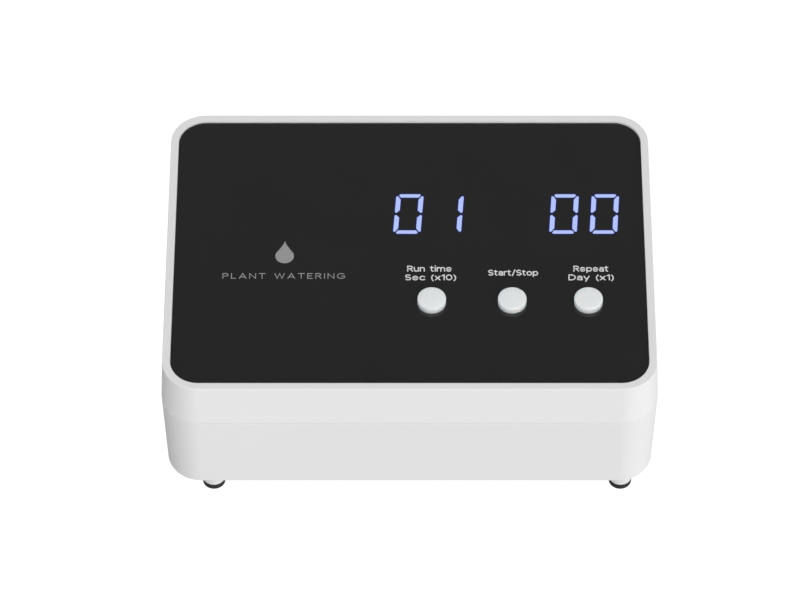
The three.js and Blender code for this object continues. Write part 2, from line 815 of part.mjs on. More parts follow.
const pinLow = -10.6;
const pinHigh = -2.6;
const pin = new THREE.CylinderGeometry(pinRadius, pinRadius, pinHigh - pinLow, coarse);
add("drive_hub", driveHub(), blackPlastic);
add("drive_pin", solid(pin.translate(0, (pinLow + pinHigh) / 2, 0)), steel, drive);
add("wobble_plate", wobblePlate(), greyPlastic, drive);

// ---------------------------------------------------------------- pump
const diaphragmY = pivotY + 0.9;
const diaphragmThick = 1.0;
const diaphragmRear = diaphragmY + diaphragmThick;
const valveY = diaphragmRear + seatGap;
const pumpScrewRadius = 0.8;
const pumpScrewZ = [pumpZ - 11.6, pumpZ + 11.6];

function withScrewHoles(body, front, rear) {
  const holes = pumpScrewZ.map((z) => lengthwise(pumpX, z, pumpScrewRadius + fit, front, rear));
  return holes.reduce((rest, hole) => rest.subtract(hole), body);
}

function aroundPump(radius, offset, front, rear, sides) {
  return [0, 1, 2].map((i) => {
    const x = pumpX + offset * Math.sin(i * third);
    const z = pumpZ + offset * Math.cos(i * third);
    return lengthwise(x, z, radius, front, rear, sides);
  });
}

function pumpHousing() {
  const inner = 10.4;
  const throat = 3;
  const edge = 0.6;
  const front = motorRear + seatGap;
  const floor = front + 1.2;
  const rear = diaphragmY - seatGap;
  const screwHoleFront = 2;
  const profile = [
    [throat, front],
    [pumpRadius - edge, front],
    [pumpRadius, front + edge],
    [pumpRadius, rear],
    [inner, rear],
    [inner, floor],
    [throat, floor],
    [throat, front],
  ];
  return withScrewHoles(turnedLengthwise(profile, pumpX, pumpZ), screwHoleFront, rear + past);
}

function pumpDiaphragm() {
  const cupRadius = 3.3;
  const cupRear = diaphragmRear + 1.2;
  const sheet = lengthwise(pumpX, pumpZ, pumpRadius, diaphragmY, diaphragmRear, fine);
  const cups = aroundPump(cupRadius, chamberOffset, diaphragmRear - rootDepth, cupRear, coarse);
  return withScrewHoles(joined(sheet, ...cups), diaphragmY - past, cupRear);
}

function valvePlate() {
  const chamberRadius = 3.6;
  const chamberDepth = 1.9;
  const portRadius = 0.6;
  const portOffsets = [4.2, 8.4];
  const cutters = aroundPump(chamberRadius, chamberOffset, valveY - past, valveY + chamberDepth, coarse);
  for (const offset of portOffsets) {
    cutters.push(...aroundPump(portRadius, offset, valveY, headY + past, tiny));
  }
  const plate = lengthwise(pumpX, pumpZ, pumpRadius, valveY, headY - seatGap, fine);
  return withScrewHoles(plate.subtract(joined(...cutters)), valveY - past, headY + past);
}

const headLid = headY + 5;
const nozzleEnd = headLid + 6.5;

// A lid with a ring-shaped inlet channel round a central outlet chamber, and a nozzle on each.
function pumpHead() {
  const channelRear = headY + 3;
  const chamber = 5.2;
  const dividerOuter = 6.4;
  const channelOuter = 10;
  const channel = lengthwise(pumpX, pumpZ, channelOuter, headY - past, channelRear, fine);
  const divider = lengthwise(pumpX, pumpZ, dividerOuter, headY - 2 * past, channelRear + past, fine);
  let head = lengthwise(pumpX, pumpZ, pumpRadius, headY, headLid, fine);
  head = head.subtract(channel.subtract(divider));
  head = head.subtract(lengthwise(pumpX, pumpZ, chamber, headY - past, channelRear, fine));
  for (const offset of nozzleOffset) {
    head = head.add(lengthwise(pumpX + offset, pumpZ, spigotRadius, headLid - rootDepth, nozzleEnd));
    head = head.subtract(lengthwise(pumpX + offset, pumpZ, hoseBore, headY + past, nozzleEnd + past));
  }
  return withScrewHoles(head, headY - past, headLid + past);
}

function pumpScrew(z) {
  const point = 3;
  const headRadius = 1.6;
  const seat = headLid + seatGap;
  const top = seat + 1.2;
  const profile = [
    [0, point],
    [pumpScrewRadius, point + 0.6],
    [pumpScrewRadius, seat],
    [headRadius, seat],
    [headRadius, top],
    [0, top],
  ];
  return turnedLengthwise(profile, pumpX, z, coarse);
}

add("pump_housing", pumpHousing(), blackPlastic);
add("pump_diaphragm", pumpDiaphragm(), silicone);
add("valve_plate", valvePlate(), greyPlastic);
add("pump_head", pumpHead(), blackPlastic);
pumpScrewZ.forEach((z, i) => add(["pump_screw_lower", "pump_screw_upper"][i], pumpScrew(z), steel));

// ---------------------------------------------------------------- strap over the motor
const strapLow = pumpZ - 0.5;
const strapFootTop = pumpZ + 1.1;

function pumpStrap() {
  const thick = 1.2;
  const footReach = 19.5;
  const screwHole = 1.2;
  const [front, rear] = strapY;
  const feet = box([pumpX - footReach, pumpX + footReach], [front, rear], [strapLow, strapFootTop]);
  const across = [pumpX - 2 * motorRadius, pumpX + 2 * motorRadius];
  const below = box(across, [front - past, rear + past], [0, strapLow]);
  let strap = lengthwise(pumpX, pumpZ, strapInner + thick, front, rear, fine).subtract(below).add(feet);
  strap = strap.subtract(lengthwise(pumpX, pumpZ, strapInner, front - past, rear + past, fine));
  for (const x of strapScrewX) {
    strap = strap.subtract(upright(x, strapMiddle, screwHole, strapLow - past, strapFootTop + past));
  }
  return strap;
}

add("pump_strap", pumpStrap(), greyPlastic);
strapScrewX.forEach((x, i) => {
  const body = screw(x, strapMiddle, strapFootTop + seatGap, strapScrew);
  add(["strap_screw_left", "strap_screw_right"][i], body, steel);
});

// ---------------------------------------------------------------- hose barbs and inner hoses
const tailFront = 38;
const flangeFront = 44.4;
const flangeRear = 46.3;

// A tail for the inner hose, a flange inside the wall, a stem through it and the barb behind it.
function hoseBarb(x) {
  const rear = seamDepth / 2;
  const tip = rear + barbReach;
  const flangeRadius = 5.2;
  const [crestLow, crestMiddle, crestHigh] = crestReach.map((reach) => rear + reach);
  const profile = [
    [hoseBore, tailFront],
    [spigotRadius, tailFront],
    [spigotRadius, flangeFront],
    [flangeRadius, flangeFront],
    [flangeRadius, flangeRear],
    [barbStem, flangeRear],
    [barbStem, rear + stemReach],
    [barbShoulder, rear + stemReach],
    [barbShoulder, crestLow],
    [barbValley, crestMiddle],
    [barbCrest, crestMiddle],
    [barbValley, crestHigh],
    [barbCrest, crestHigh],
    [barbTip, tip],
    [hoseBore, tip],
    [hoseBore, tailFront],
  ];
  return turnedLengthwise(profile, x, barbZ, barbSides);
}

function innerHose(nozzleX, endX) {
  const start = headLid + 0.3;
  const end = flangeFront - 0.3;
  const straight = 0.8; // how far the hose runs straight past what it is pushed over
  const lead = 6; // how far each end pulls the bend its own way
  const route = new THREE.CubicBezierCurve3(
    new THREE.Vector3(nozzleX, nozzleEnd + straight, pumpZ),
    new THREE.Vector3(nozzleX, nozzleEnd + lead, pumpZ),
    new THREE.Vector3(endX, tailFront - lead, barbZ),
    new THREE.Vector3(endX, tailFront - straight, barbZ),
  );
  const path = new THREE.CurvePath();
  path.add(new THREE.LineCurve3(new THREE.Vector3(nozzleX, start, pumpZ), route.v0));
  path.add(route);
  path.add(new THREE.LineCurve3(route.v3, new THREE.Vector3(endX, end, barbZ)));
  const section = new THREE.Shape();
  section.absarc(0, 0, spigotRadius + 1.2, 0, 2 * Math.PI);
  const bore = new THREE.Path();
  bore.absarc(0, 0, spigotRadius + 0.2, 0, 2 * Math.PI, true);
  section.holes.push(bore);
  return solid(new THREE.ExtrudeGeometry(section, { extrudePath: path, steps: 12, curveSegments: 4 }));
}

["inlet", "outlet"].forEach((role, i) => {
  add(role + "_barb", hoseBarb(barbX[i]), whitePlastic);
  add(role + "_hose", innerHose(pumpX + nozzleOffset[i], barbX[i]), silicone);
});

// ---------------------------------------------------------------- motor lead
function motorLead() {
  const front = endBellFront;
  const path = new THREE.CatmullRomCurve3([
    new THREE.Vector3(pumpX + 4, front - 0.8, pumpZ + 3),
    new THREE.Vector3(pumpX + 1, front - 2.4, pumpZ + 6),
    new THREE.Vector3(pumpX - 6, front - 2.4, pumpZ + 10),
    new THREE.Vector3(pumpX - 13, boardFront - 7, boardZ - 1.8),
    new THREE.Vector3(pumpX - 17, boardFront + 1, boardZ - 1.3),
    new THREE.Vector3(pumpX - 17, boardFront + 5, boardZ - 1.3),
  ]);
  const section = new THREE.Shape();
  section.absellipse(0, 0, 0.7, 1.2, 0, 2 * Math.PI);
  return solid(new THREE.ExtrudeGeometry(section, { extrudePath: path, steps: 12, curveSegments: 3 }));
}

add("motor_lead", motorLead(), cableRed);

export default controller;
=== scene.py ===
"""Looks of the irrigation controller: fine shells, panel, digits, prints, buttons, feet and barbs."""
import json
import math

import bmesh
import bpy
from mathutils import Matrix, Vector


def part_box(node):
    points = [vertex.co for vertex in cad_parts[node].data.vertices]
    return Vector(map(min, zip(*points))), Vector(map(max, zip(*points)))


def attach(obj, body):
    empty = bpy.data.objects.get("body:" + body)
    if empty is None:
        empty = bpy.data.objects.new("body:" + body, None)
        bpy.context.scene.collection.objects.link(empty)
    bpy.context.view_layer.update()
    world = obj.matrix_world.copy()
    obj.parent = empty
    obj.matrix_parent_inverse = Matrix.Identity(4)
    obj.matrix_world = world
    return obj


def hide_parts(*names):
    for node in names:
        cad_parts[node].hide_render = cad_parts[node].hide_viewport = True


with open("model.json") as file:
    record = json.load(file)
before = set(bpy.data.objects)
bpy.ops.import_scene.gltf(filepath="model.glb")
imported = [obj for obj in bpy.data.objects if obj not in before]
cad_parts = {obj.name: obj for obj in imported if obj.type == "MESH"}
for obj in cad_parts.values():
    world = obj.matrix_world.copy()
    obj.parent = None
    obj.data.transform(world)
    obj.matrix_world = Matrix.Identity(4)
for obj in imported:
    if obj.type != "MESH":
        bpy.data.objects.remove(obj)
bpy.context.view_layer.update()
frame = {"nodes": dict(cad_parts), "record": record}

MM = 0.001


# ---------------------------------------------------------------- places read from the frame
def limits(node):
    low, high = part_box(node)
    return Vector(low), Vector(high)


def middle(node):
    low, high = limits(node)
    return (low + high) / 2


upper_low, upper_high = limits("upper_shell")
panel_low, panel_high = limits("front_panel")
door_low, door_high = limits("battery_door")
CASE = (upper_low + upper_high) / 2
SEAM_Z = upper_low.z
TOP_Z = upper_high.z
PANEL_Z = panel_high.z
POST_Z = limits("lower_shell")[0].z

# Sizes that the boxes don't give
SEAM_DRAFT = 0.72 * MM
BASE_DRAFT = 0.77 * MM
TOP_CORNER = 9.5 * MM
WALL = 2.0 * MM
RIM = 2.13 * MM
POST_HEIGHT = 5.0 * MM
BASE_Z = POST_Z + POST_HEIGHT
FLOOR_Z = BASE_Z + WALL
SEAM_WIDTH = upper_high.x - upper_low.x
SEAM_DEPTH = upper_high.y - upper_low.y
DOOR_DEPTH = 55.4 * MM
PANEL_CORNER = 7.67 * MM
CORNER_STEPS = 20
BUTTONS = ("run_time", "start_stop", "interval")
FEET = ("front_left", "front_right", "rear_left", "rear_right")


# ---------------------------------------------------------------- camera, light and floor
VIEW_DOWN = math.radians(51.5)
VIEW_DISTANCE = 1.2965
LENS = 210.0
SENSOR_WIDTH = 36
SIGHT_LIMIT = 20
AIM_FORWARD = 1.3 * MM
AIM_DROP = 0.025 * MM
AIM = Vector((0, CASE.y - AIM_FORWARD, (BASE_Z + TOP_Z) / 2 - AIM_DROP))
SHIFT_X = -0.0121
WORLD_BASE = 0.12
WORLD_LOBES = (  # direction, tightness, strength
    ((0, -0.5, 0.85), 4.0, 1.815),
    ((0, -1, 0.1), 3.0, 0.44),
    ((0.75, -0.7, 0.25), 3.0, 0.85),
    ((1, 0, 0), 3.0, 0.48),
    ((0.7, -0.3, -0.65), 3.0, 0.79),
    ((-1, -0.2, 0), 3.0, 0.48),
    ((0, 1, -0.2), 4.0, 1.6),
)
FLOOR_HALF = 3.0


def make_camera():
    data = bpy.data.cameras.new("camera")
    camera = bpy.data.objects.new("camera", data)
    bpy.context.collection.objects.link(camera)
    back = Vector((0, -math.cos(VIEW_DOWN), math.sin(VIEW_DOWN)))
    camera.location = AIM + VIEW_DISTANCE * back
    camera.rotation_euler = (math.pi / 2 - VIEW_DOWN, 0, 0)
    data.lens = LENS
    data.sensor_width = SENSOR_WIDTH
    data.shift_x = SHIFT_X
    data.clip_end = SIGHT_LIMIT
    bpy.context.scene.camera = camera


def make_world(base, lobes):
    """A pale studio: a base brightness plus soft lobes, each (direction, tightness, strength)."""
    world = bpy.data.worlds.new("studio")
    world.use_nodes = True
    bpy.context.scene.world = world
    tree = world.node_tree
    ways = tree.nodes.new("ShaderNodeTexCoord")
    total = base
    for direction, tightness, strength in lobes:
        dot = tree.nodes.new("ShaderNodeVectorMath")
        dot.operation = "DOT_PRODUCT"
        dot.inputs[1].default_value = Vector(direction).normalized()
        tree.links.new(ways.outputs["Generated"], dot.inputs[0])
        lit = number(tree, "MAXIMUM", dot.outputs["Value"], 0.0)
        soft = number(tree, "POWER", lit, tightness)
        part = number(tree, "MULTIPLY", soft, strength)
        total = number(tree, "ADD", part, total)
    background = tree.nodes["Background"]
    background.inputs["Color"].default_value = (1, 1, 1, 1)
    tree.links.new(total, background.inputs["Strength"])


# ---------------------------------------------------------------- material building blocks
NOISE_LOW = 0.3  # most of a noise texture's values lie between these two
NOISE_HIGH = 0.7
RUB_SCALE = 6
SCATTER_REACH = (1.0, 0.9, 0.8)
SCATTER_DEPTH = 2.5 * MM
GLOW_VARIATION = 0.03
GLOW_PATCH = 900
GLOW_ROUGHNESS = 0.6


def number(tree, operation, first, second):
    node = tree.nodes.new("ShaderNodeMath")
    node.operation = operation
    for socket, value in zip(node.inputs, (first, second)):
        if isinstance(value, (int, float)):
            socket.default_value = value
        else:
            tree.links.new(value, socket)
    return node.outputs[0]


def noise(tree, scale, detail=3.0, stretch=(1, 1, 1)):
    """Noise over the object's own metres; scale is in cycles per metre."""
    where = tree.nodes.new("ShaderNodeTexCoord")
    mapping = tree.nodes.new("ShaderNodeMapping")
    mapping.inputs["Scale"].default_value = stretch
    texture = tree.nodes.new("ShaderNodeTexNoise")
    texture.inputs["Scale"].default_value = scale
    texture.inputs["Detail"].default_value = detail
    tree.links.new(where.outputs["Object"], mapping.inputs["Vector"])
    tree.links.new(mapping.outputs["Vector"], texture.inputs["Vector"])
    return texture.outputs["Fac"]


def spread(tree, value, low, high):
    node = tree.nodes.new("ShaderNodeMapRange")
    node.inputs["From Min"].default_value = NOISE_LOW
    node.inputs["From Max"].default_value = NOISE_HIGH
    node.inputs["To Min"].default_value = low
    node.inputs["To Max"].default_value = high
    tree.links.new(value, node.inputs["Value"])
    return node.outputs["Result"]


def blend(tree, factor, first, second):
    node = tree.nodes.new("ShaderNodeMix")
    node.data_type = "RGBA"
    node.inputs["A"].default_value = (*first, 1)
    node.inputs["B"].default_value = (*second, 1)
    tree.links.new(factor, node.inputs["Factor"])
    return node.outputs["Result"]


def shaded(color, change):
    return tuple(min(1.0, max(0.0, channel * change)) for channel in color)


def surface(name, color, roughness, *, variation=0.03, patch=40, grain=3500, bump=0.02, wear=0.05,
            metallic=0.0, specular=0.5, stretch=(1, 1, 1), coat=0.0, subsurface=0.0):
    """A moulded, printed or metal surface: patchy colour, uneven roughness and a fine grain in relief."""
    material = bpy.data.materials.new(name)
    material.use_nodes = True
    tree = material.node_tree
    shader = tree.nodes["Principled BSDF"]
    patches = spread(tree, noise(tree, patch, 4, stretch), 0, 1)
    tint = blend(tree, patches, shaded(color, 1 - variation), shaded(color, 1 + variation))
    tree.links.new(tint, shader.inputs["Base Color"])
    rubbed = spread(tree, noise(tree, patch * RUB_SCALE, 5, stretch), roughness - wear, roughness + wear)
    tree.links.new(rubbed, shader.inputs["Roughness"])
    relief = tree.nodes.new("ShaderNodeBump")
    relief.inputs["Strength"].default_value = 1.0
    relief.inputs["Distance"].default_value = bump * MM
    tree.links.new(noise(tree, grain, 2, stretch), relief.inputs["Height"])
    tree.links.new(relief.outputs["Normal"], shader.inputs["Normal"])
    shader.inputs["Metallic"].default_value = metallic
    shader.inputs["Specular IOR Level"].default_value = specular
    shader.inputs["Coat Weight"].default_value = coat
    if subsurface:
        shader.inputs["Subsurface Weight"].default_value = subsurface
        shader.inputs["Subsurface Radius"].default_value = SCATTER_REACH
        shader.inputs["Subsurface Scale"].default_value = SCATTER_DEPTH
    return material


def glowing(name, color):
    """A lit display part: an even glow with the faint unevenness of a moulded diffuser."""
    material = bpy.data.materials.new(name)
    material.use_nodes = True
    tree = material.node_tree
    shader = tree.nodes["Principled BSDF"]
    shader.inputs["Base Color"].default_value = (0, 0, 0, 1)
    shader.inputs["Roughness"].default_value = GLOW_ROUGHNESS
    shader.inputs["Specular IOR Level"].default_value = 0.0
    cloud = spread(tree, noise(tree, GLOW_PATCH, 2), 0, 1)
    glow = blend(tree, cloud, shaded(color, 1 - GLOW_VARIATION), shaded(color, 1 + GLOW_VARIATION))
    tree.links.new(glow, shader.inputs["Emission Color"])
    shader.inputs["Emission Strength"].default_value = 1.0
    return material


WHITE = surface("white_plastic", (0.72, 0.72, 0.72), 0.6, variation=0.006, patch=30, grain=5200, bump=0.006,
                wear=0.03, specular=0.12)
# Painted shade: the lower shell gets a slightly darker copy of the upper shell's white plastic, so it reads
# as less lit
PAINTED_SHADE_LOWER_WHITE = surface("lower_white_plastic_painted_shade", (0.71, 0.71, 0.71), 0.6, variation=0.006, patch=30, grain=5200,
                      bump=0.006, wear=0.03, specular=0.12)
BUTTON_WHITE = surface("button_plastic", (0.77, 0.80, 0.805), 0.45, variation=0.006, patch=80, grain=6000,
                       bump=0.004, wear=0.03, specular=0.3, subsurface=1.0)
PANEL = surface("panel_black", (0.0115, 0.0115, 0.0115), 0.12, variation=0.05, patch=60, grain=4200,
                bump=0.001, wear=0.02, specular=0.5)
RUBBER = surface("foot_rubber", (0.02, 0.02, 0.021), 0.75, variation=0.15, patch=300, grain=2600, bump=0.03,
                 wear=0.08, specular=0.3)
PRINT_WHITE = surface("label_print", (0.70, 0.70, 0.70), 0.6, variation=0.05, patch=900, grain=9000,
                      bump=0.002)
PRINT_GREY = surface("mark_print", (0.28, 0.28, 0.285), 0.6, variation=0.05, patch=900, grain=9000,
                     bump=0.002)
LIT = glowing("digit_light", (0.462, 0.552, 0.973))
HALO = glowing("digit_halo", (0.0153, 0.0205, 0.0799))
STEEL = surface("plated_steel", (0.62, 0.62, 0.63), 0.28, variation=0.06, patch=150, grain=3000, bump=0.004,
                metallic=1.0, stretch=(1, 6, 6))
GOLD = surface("contact_gold", (0.83, 0.62, 0.28), 0.25, variation=0.06, patch=500, metallic=1.0, bump=0.002)
GREY = surface("grey_plastic", (0.24, 0.25, 0.26), 0.5, variation=0.04, patch=60, grain=3200, bump=0.015)
BLACK = surface("black_plastic", (0.015, 0.015, 0.017), 0.4, variation=0.15, patch=120, grain=3200,
                bump=0.012)
GREEN = surface("board_green", (0.012, 0.09, 0.035), 0.35, variation=0.12, patch=250, grain=1500, bump=0.02,
                coat=0.4)
JACKET = surface("cell_jacket", (0.03, 0.085, 0.19), 0.3, variation=0.06, patch=120, grain=2400, bump=0.004,
                 coat=0.3)
MAGNET = surface("magnet_grey", (0.045, 0.045, 0.05), 0.65, variation=0.2, patch=400, grain=1800, bump=0.03)
COPPER = surface("winding_copper", (0.62, 0.24, 0.10), 0.35, variation=0.12, patch=300, grain=2200, bump=0.03,
                 metallic=0.9, stretch=(8, 1, 1))
SILICONE = surface("silicone", (0.62, 0.64, 0.62), 0.35, variation=0.04, patch=120, grain=1800, bump=0.01,
                   subsurface=0.4)
LEAD = surface("lead_jacket", (0.30, 0.02, 0.015), 0.4, variation=0.08, patch=200, grain=1500, bump=0.01)


def floor_material():
    material = surface("floor_pale", (0.1, 0.1, 0.1), 0.7, variation=0.01, patch=3, grain=300, bump=0.02,
                       specular=0.0)
    shader = material.node_tree.nodes["Principled BSDF"]
    shader.inputs["Emission Color"].default_value = (1, 1, 1, 1)
    shader.inputs["Emission Strength"].default_value = 1.0
    return material


def make_floor():
    half = FLOOR_HALF
    mesh = bpy.data.meshes.new("floor")
    corners = [(-half, -half, 0), (half, -half, 0), (half, half, 0), (-half, half, 0)]
    mesh.from_pydata(corners, [], [(0, 1, 2, 3)])
    floor = bpy.data.objects.new("floor", mesh)
    bpy.context.collection.objects.link(floor)
    mesh.materials.append(floor_material())
    # The world lights the case from below as well, so the floor neither lights nor shades it
    floor.visible_diffuse = False
    floor.visible_glossy = False
    floor.visible_shadow = False


# ---------------------------------------------------------------- mesh building blocks
ON_AXIS = 1e-7
SHARP_ANGLE = math.radians(30)
HOLE_SIDES = 48
CIRCLE_STEPS = 72
THROUGH = 1.0 * MM  # how far a cutter reaches past what it cuts
WELD_DISTANCE = 1e-6
ALONG_Y = Matrix.Rotation(-math.pi / 2, 4, "X")  # takes +Z to +Y
AGAINST_Y = Matrix.Rotation(math.pi / 2, 4, "X")  # takes +Z to -Y


def piece_from(name, mesh, materials, body, replaces=()):
    """Turns a mesh into a named piece that rides on a body and stands for CAD nodes."""
    piece = bpy.data.objects.new(name, mesh)
    bpy.context.collection.objects.link(piece)
    for material in materials:
        mesh.materials.append(material)
    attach(piece, body)
    if replaces:
        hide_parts(*replaces)
    return piece


def outline(width, depth, radius, steps=CORNER_STEPS):
    """A rounded rectangle's points round its own centre, anticlockwise."""
    points = []
    for corner, (sign_x, sign_y) in enumerate(((1, 1), (-1, 1), (-1, -1), (1, -1))):
        centre = Vector((sign_x * (width / 2 - radius), sign_y * (depth / 2 - radius)))
        for step in range(steps + 1):
            angle = math.pi / 2 * (corner + step / steps)
            points.append(centre + radius * Vector((math.cos(angle), math.sin(angle))))
    return points


def ring_loft(rings, centre=(0, 0)):
    """A closed mesh through rings of equal count, each (points, height)."""
    mesh = bmesh.new()
    loops = []
    for points, height in rings:
        loops.append([mesh.verts.new((centre[0] + p[0], centre[1] + p[1], height)) for p in points])
    count = len(loops[0])
    for low, high in zip(loops, loops[1:]):
        for i in range(count):
            j = (i + 1) % count
            mesh.faces.new((low[i], low[j], high[j], high[i]))
    mesh.faces.new(reversed(loops[0]))
    mesh.faces.new(loops[-1])
    bmesh.ops.recalc_face_normals(mesh, faces=mesh.faces)
    return mesh


def finished(mesh, name):
    data = bpy.data.meshes.new(name)
    bmesh.ops.recalc_face_normals(mesh, faces=mesh.faces)
    mesh.to_mesh(data)
    mesh.free()
    return data


def turned(profile, sides=64):
    """A mesh turned round Z from (radius, height) pairs that end on the axis or close on themselves."""
    mesh = bmesh.new()
    loops = []
    for radius, height in profile:
        if radius < ON_AXIS:
            loops.append([mesh.verts.new((0, 0, height))])
            continue
        ring = []
        for i in range(sides):
            angle = 2 * math.pi * i / sides
            ring.append(mesh.verts.new((radius * math.cos(angle), radius * math.sin(angle), height)))
        loops.append(ring)
    pairs = list(zip(loops, loops[1:]))
    if len(loops[0]) > 1:
        pairs.append((loops[-1], loops[0]))
    for first, second in pairs:
        for i in range(sides):
            j = (i + 1) % sides
            four = (first[i % len(first)], first[j % len(first)],
                    second[j % len(second)], second[i % len(second)])
            corners = []
            for corner in four:
                if corner not in corners:
                    corners.append(corner)
            if len(corners) > 2:
                mesh.faces.new(corners)
    return mesh


def arc(centre, radius, start, end, steps=6):
    """Points of a fillet in a profile, from one angle in degrees to another."""
    points = []
    for step in range(steps + 1):
        angle = math.radians(start + (end - start) * step / steps)
        points.append((centre[0] + radius * math.cos(angle), centre[1] + radius * math.sin(angle)))
    return points


def smooth(piece):
    """Smooth shading with sharp edges kept, and normals that follow the large faces."""
    for polygon in piece.data.polygons:
        polygon.use_smooth = True
    piece.data.set_sharp_from_angle(angle=SHARP_ANGLE)
    modifier = piece.modifiers.new("even_normals", "WEIGHTED_NORMAL")
    modifier.keep_sharp = True


def cut(piece, cutters, operation="DIFFERENCE"):
    """Cuts or joins helper meshes into a piece, then removes the helpers."""
    for mesh in cutters:
        helper = bpy.data.objects.new("helper", finished(mesh, "helper"))
        bpy.context.collection.objects.link(helper)
        modifier = piece.modifiers.new("cut", "BOOLEAN")
        modifier.operation = operation
        modifier.object = helper
        modifier.solver = "EXACT"
        bpy.context.view_layer.update()
        evaluated = piece.evaluated_get(bpy.context.evaluated_depsgraph_get())
        result = bpy.data.meshes.new_from_object(evaluated)
        piece.modifiers.remove(modifier)
        result.name = piece.name
        piece.data = result
        bpy.data.objects.remove(helper)


def moved(mesh, place, turn=None):
    matrix = Matrix.Translation(place)
    if turn is not None:
        matrix = matrix @ turn
    bmesh.ops.transform(mesh, matrix=matrix, verts=mesh.verts)
    return mesh


def rod(radius, bottom, top, x, y):
    profile = [(0, bottom), (radius, bottom), (radius, top), (0, top)]
    return moved(turned(profile, HOLE_SIDES), (x, y, 0))


# ---------------------------------------------------------------- case shells
USB_STEPS = 10


def case_outline(z, inset=0.0):
    above = z >= SEAM_Z
    span = (TOP_Z - SEAM_Z) if above else (SEAM_Z - BASE_Z)
    draft = (SEAM_DRAFT if above else BASE_DRAFT) * abs(z - SEAM_Z) / span
    step = draft + inset
    return outline(SEAM_WIDTH - 2 * step, SEAM_DEPTH - 2 * step, TOP_CORNER + SEAM_DRAFT - step)


def recess_outline(inset=0.0):
    width = SEAM_WIDTH - 2 * (SEAM_DRAFT + RIM + inset)
    depth = SEAM_DEPTH - 2 * (SEAM_DRAFT + RIM + inset)
    return outline(width, depth, PANEL_CORNER - inset)


def upper_case():
    rim_outer = 0.2 * MM
    rim_inner = 0.15 * MM
    seam_edge = 0.2 * MM
    panel_bed = 0.03 * MM
    deck_thick = 1.6 * MM
    button_hole = 4.3 * MM
    window_gap = 0.3 * MM
    window_corner = 0.5 * MM
    window_steps = 4
    deck_top = panel_low.z - panel_bed
    deck_under = deck_top - deck_thick
    rings = [(recess_outline(), deck_top)]
    for x, z in arc((rim_inner, TOP_Z - rim_inner), rim_inner, 180, 90):
        rings.append((recess_outline(-x), z))
    for x, z in arc((rim_outer, TOP_Z - rim_outer), rim_outer, 90, 180):
        rings.append((case_outline(min(z, TOP_Z), x), z))
    for x, z in arc((seam_edge, SEAM_Z + seam_edge), seam_edge, 180, 270):
        rings.append((case_outline(max(z, SEAM_Z), x), z))
    rings.append((case_outline(SEAM_Z, WALL), SEAM_Z))
    rings.append((case_outline(deck_under, WALL), deck_under))
    mesh = finished(ring_loft(rings, (CASE.x, CASE.y)), "upper_case")
    piece = piece_from("upper_case", mesh, [WHITE], "case", ["upper_shell"])
    helpers = []
    for name in BUTTONS:
        at = middle(name + "_button")
        helpers.append(rod(button_hole, deck_under - THROUGH, TOP_Z + THROUGH, at.x, at.y))
    for node in ("left_display", "right_display"):
        low, high = limits(node)
        width = high.x - low.x + 2 * window_gap
        depth = high.y - low.y + 2 * window_gap
        window = outline(width, depth, window_corner, window_steps)
        rings = [(window, deck_under - THROUGH), (window, deck_top + THROUGH)]
        at = (low + high) / 2
        helpers.append(ring_loft(rings, (at.x, at.y)))
    cut(piece, helpers + [usb_opening()])
    smooth(piece)


def usb_opening():
    """A slot for the plug with a small lead-in round its mouth."""
    at = middle("usb_c_receptacle")
    low, high = limits("usb_c_receptacle")
    slack = 0.7 * MM
    corner = 1.8 * MM
    flare = 0.35 * MM
    setback = 0.34 * MM
    reach = 3.0 * MM
    width = high.x - low.x + slack
    height = high.z - low.z + slack
    mouth = upper_high.y - setback - CASE.y
    narrow = outline(width, height, corner, USB_STEPS)
    wide = outline(width + 2 * flare, height + 2 * flare, corner + flare, USB_STEPS)
    wider = outline(width + 6 * flare, height + 6 * flare, corner + 3 * flare, USB_STEPS)
    slot = ring_loft([(narrow, mouth - reach), (narrow, mouth - flare), (wide, mouth),
                      (wider, mouth + 2 * flare)])
    return moved(slot, (at.x, CASE.y, at.z), ALONG_Y)


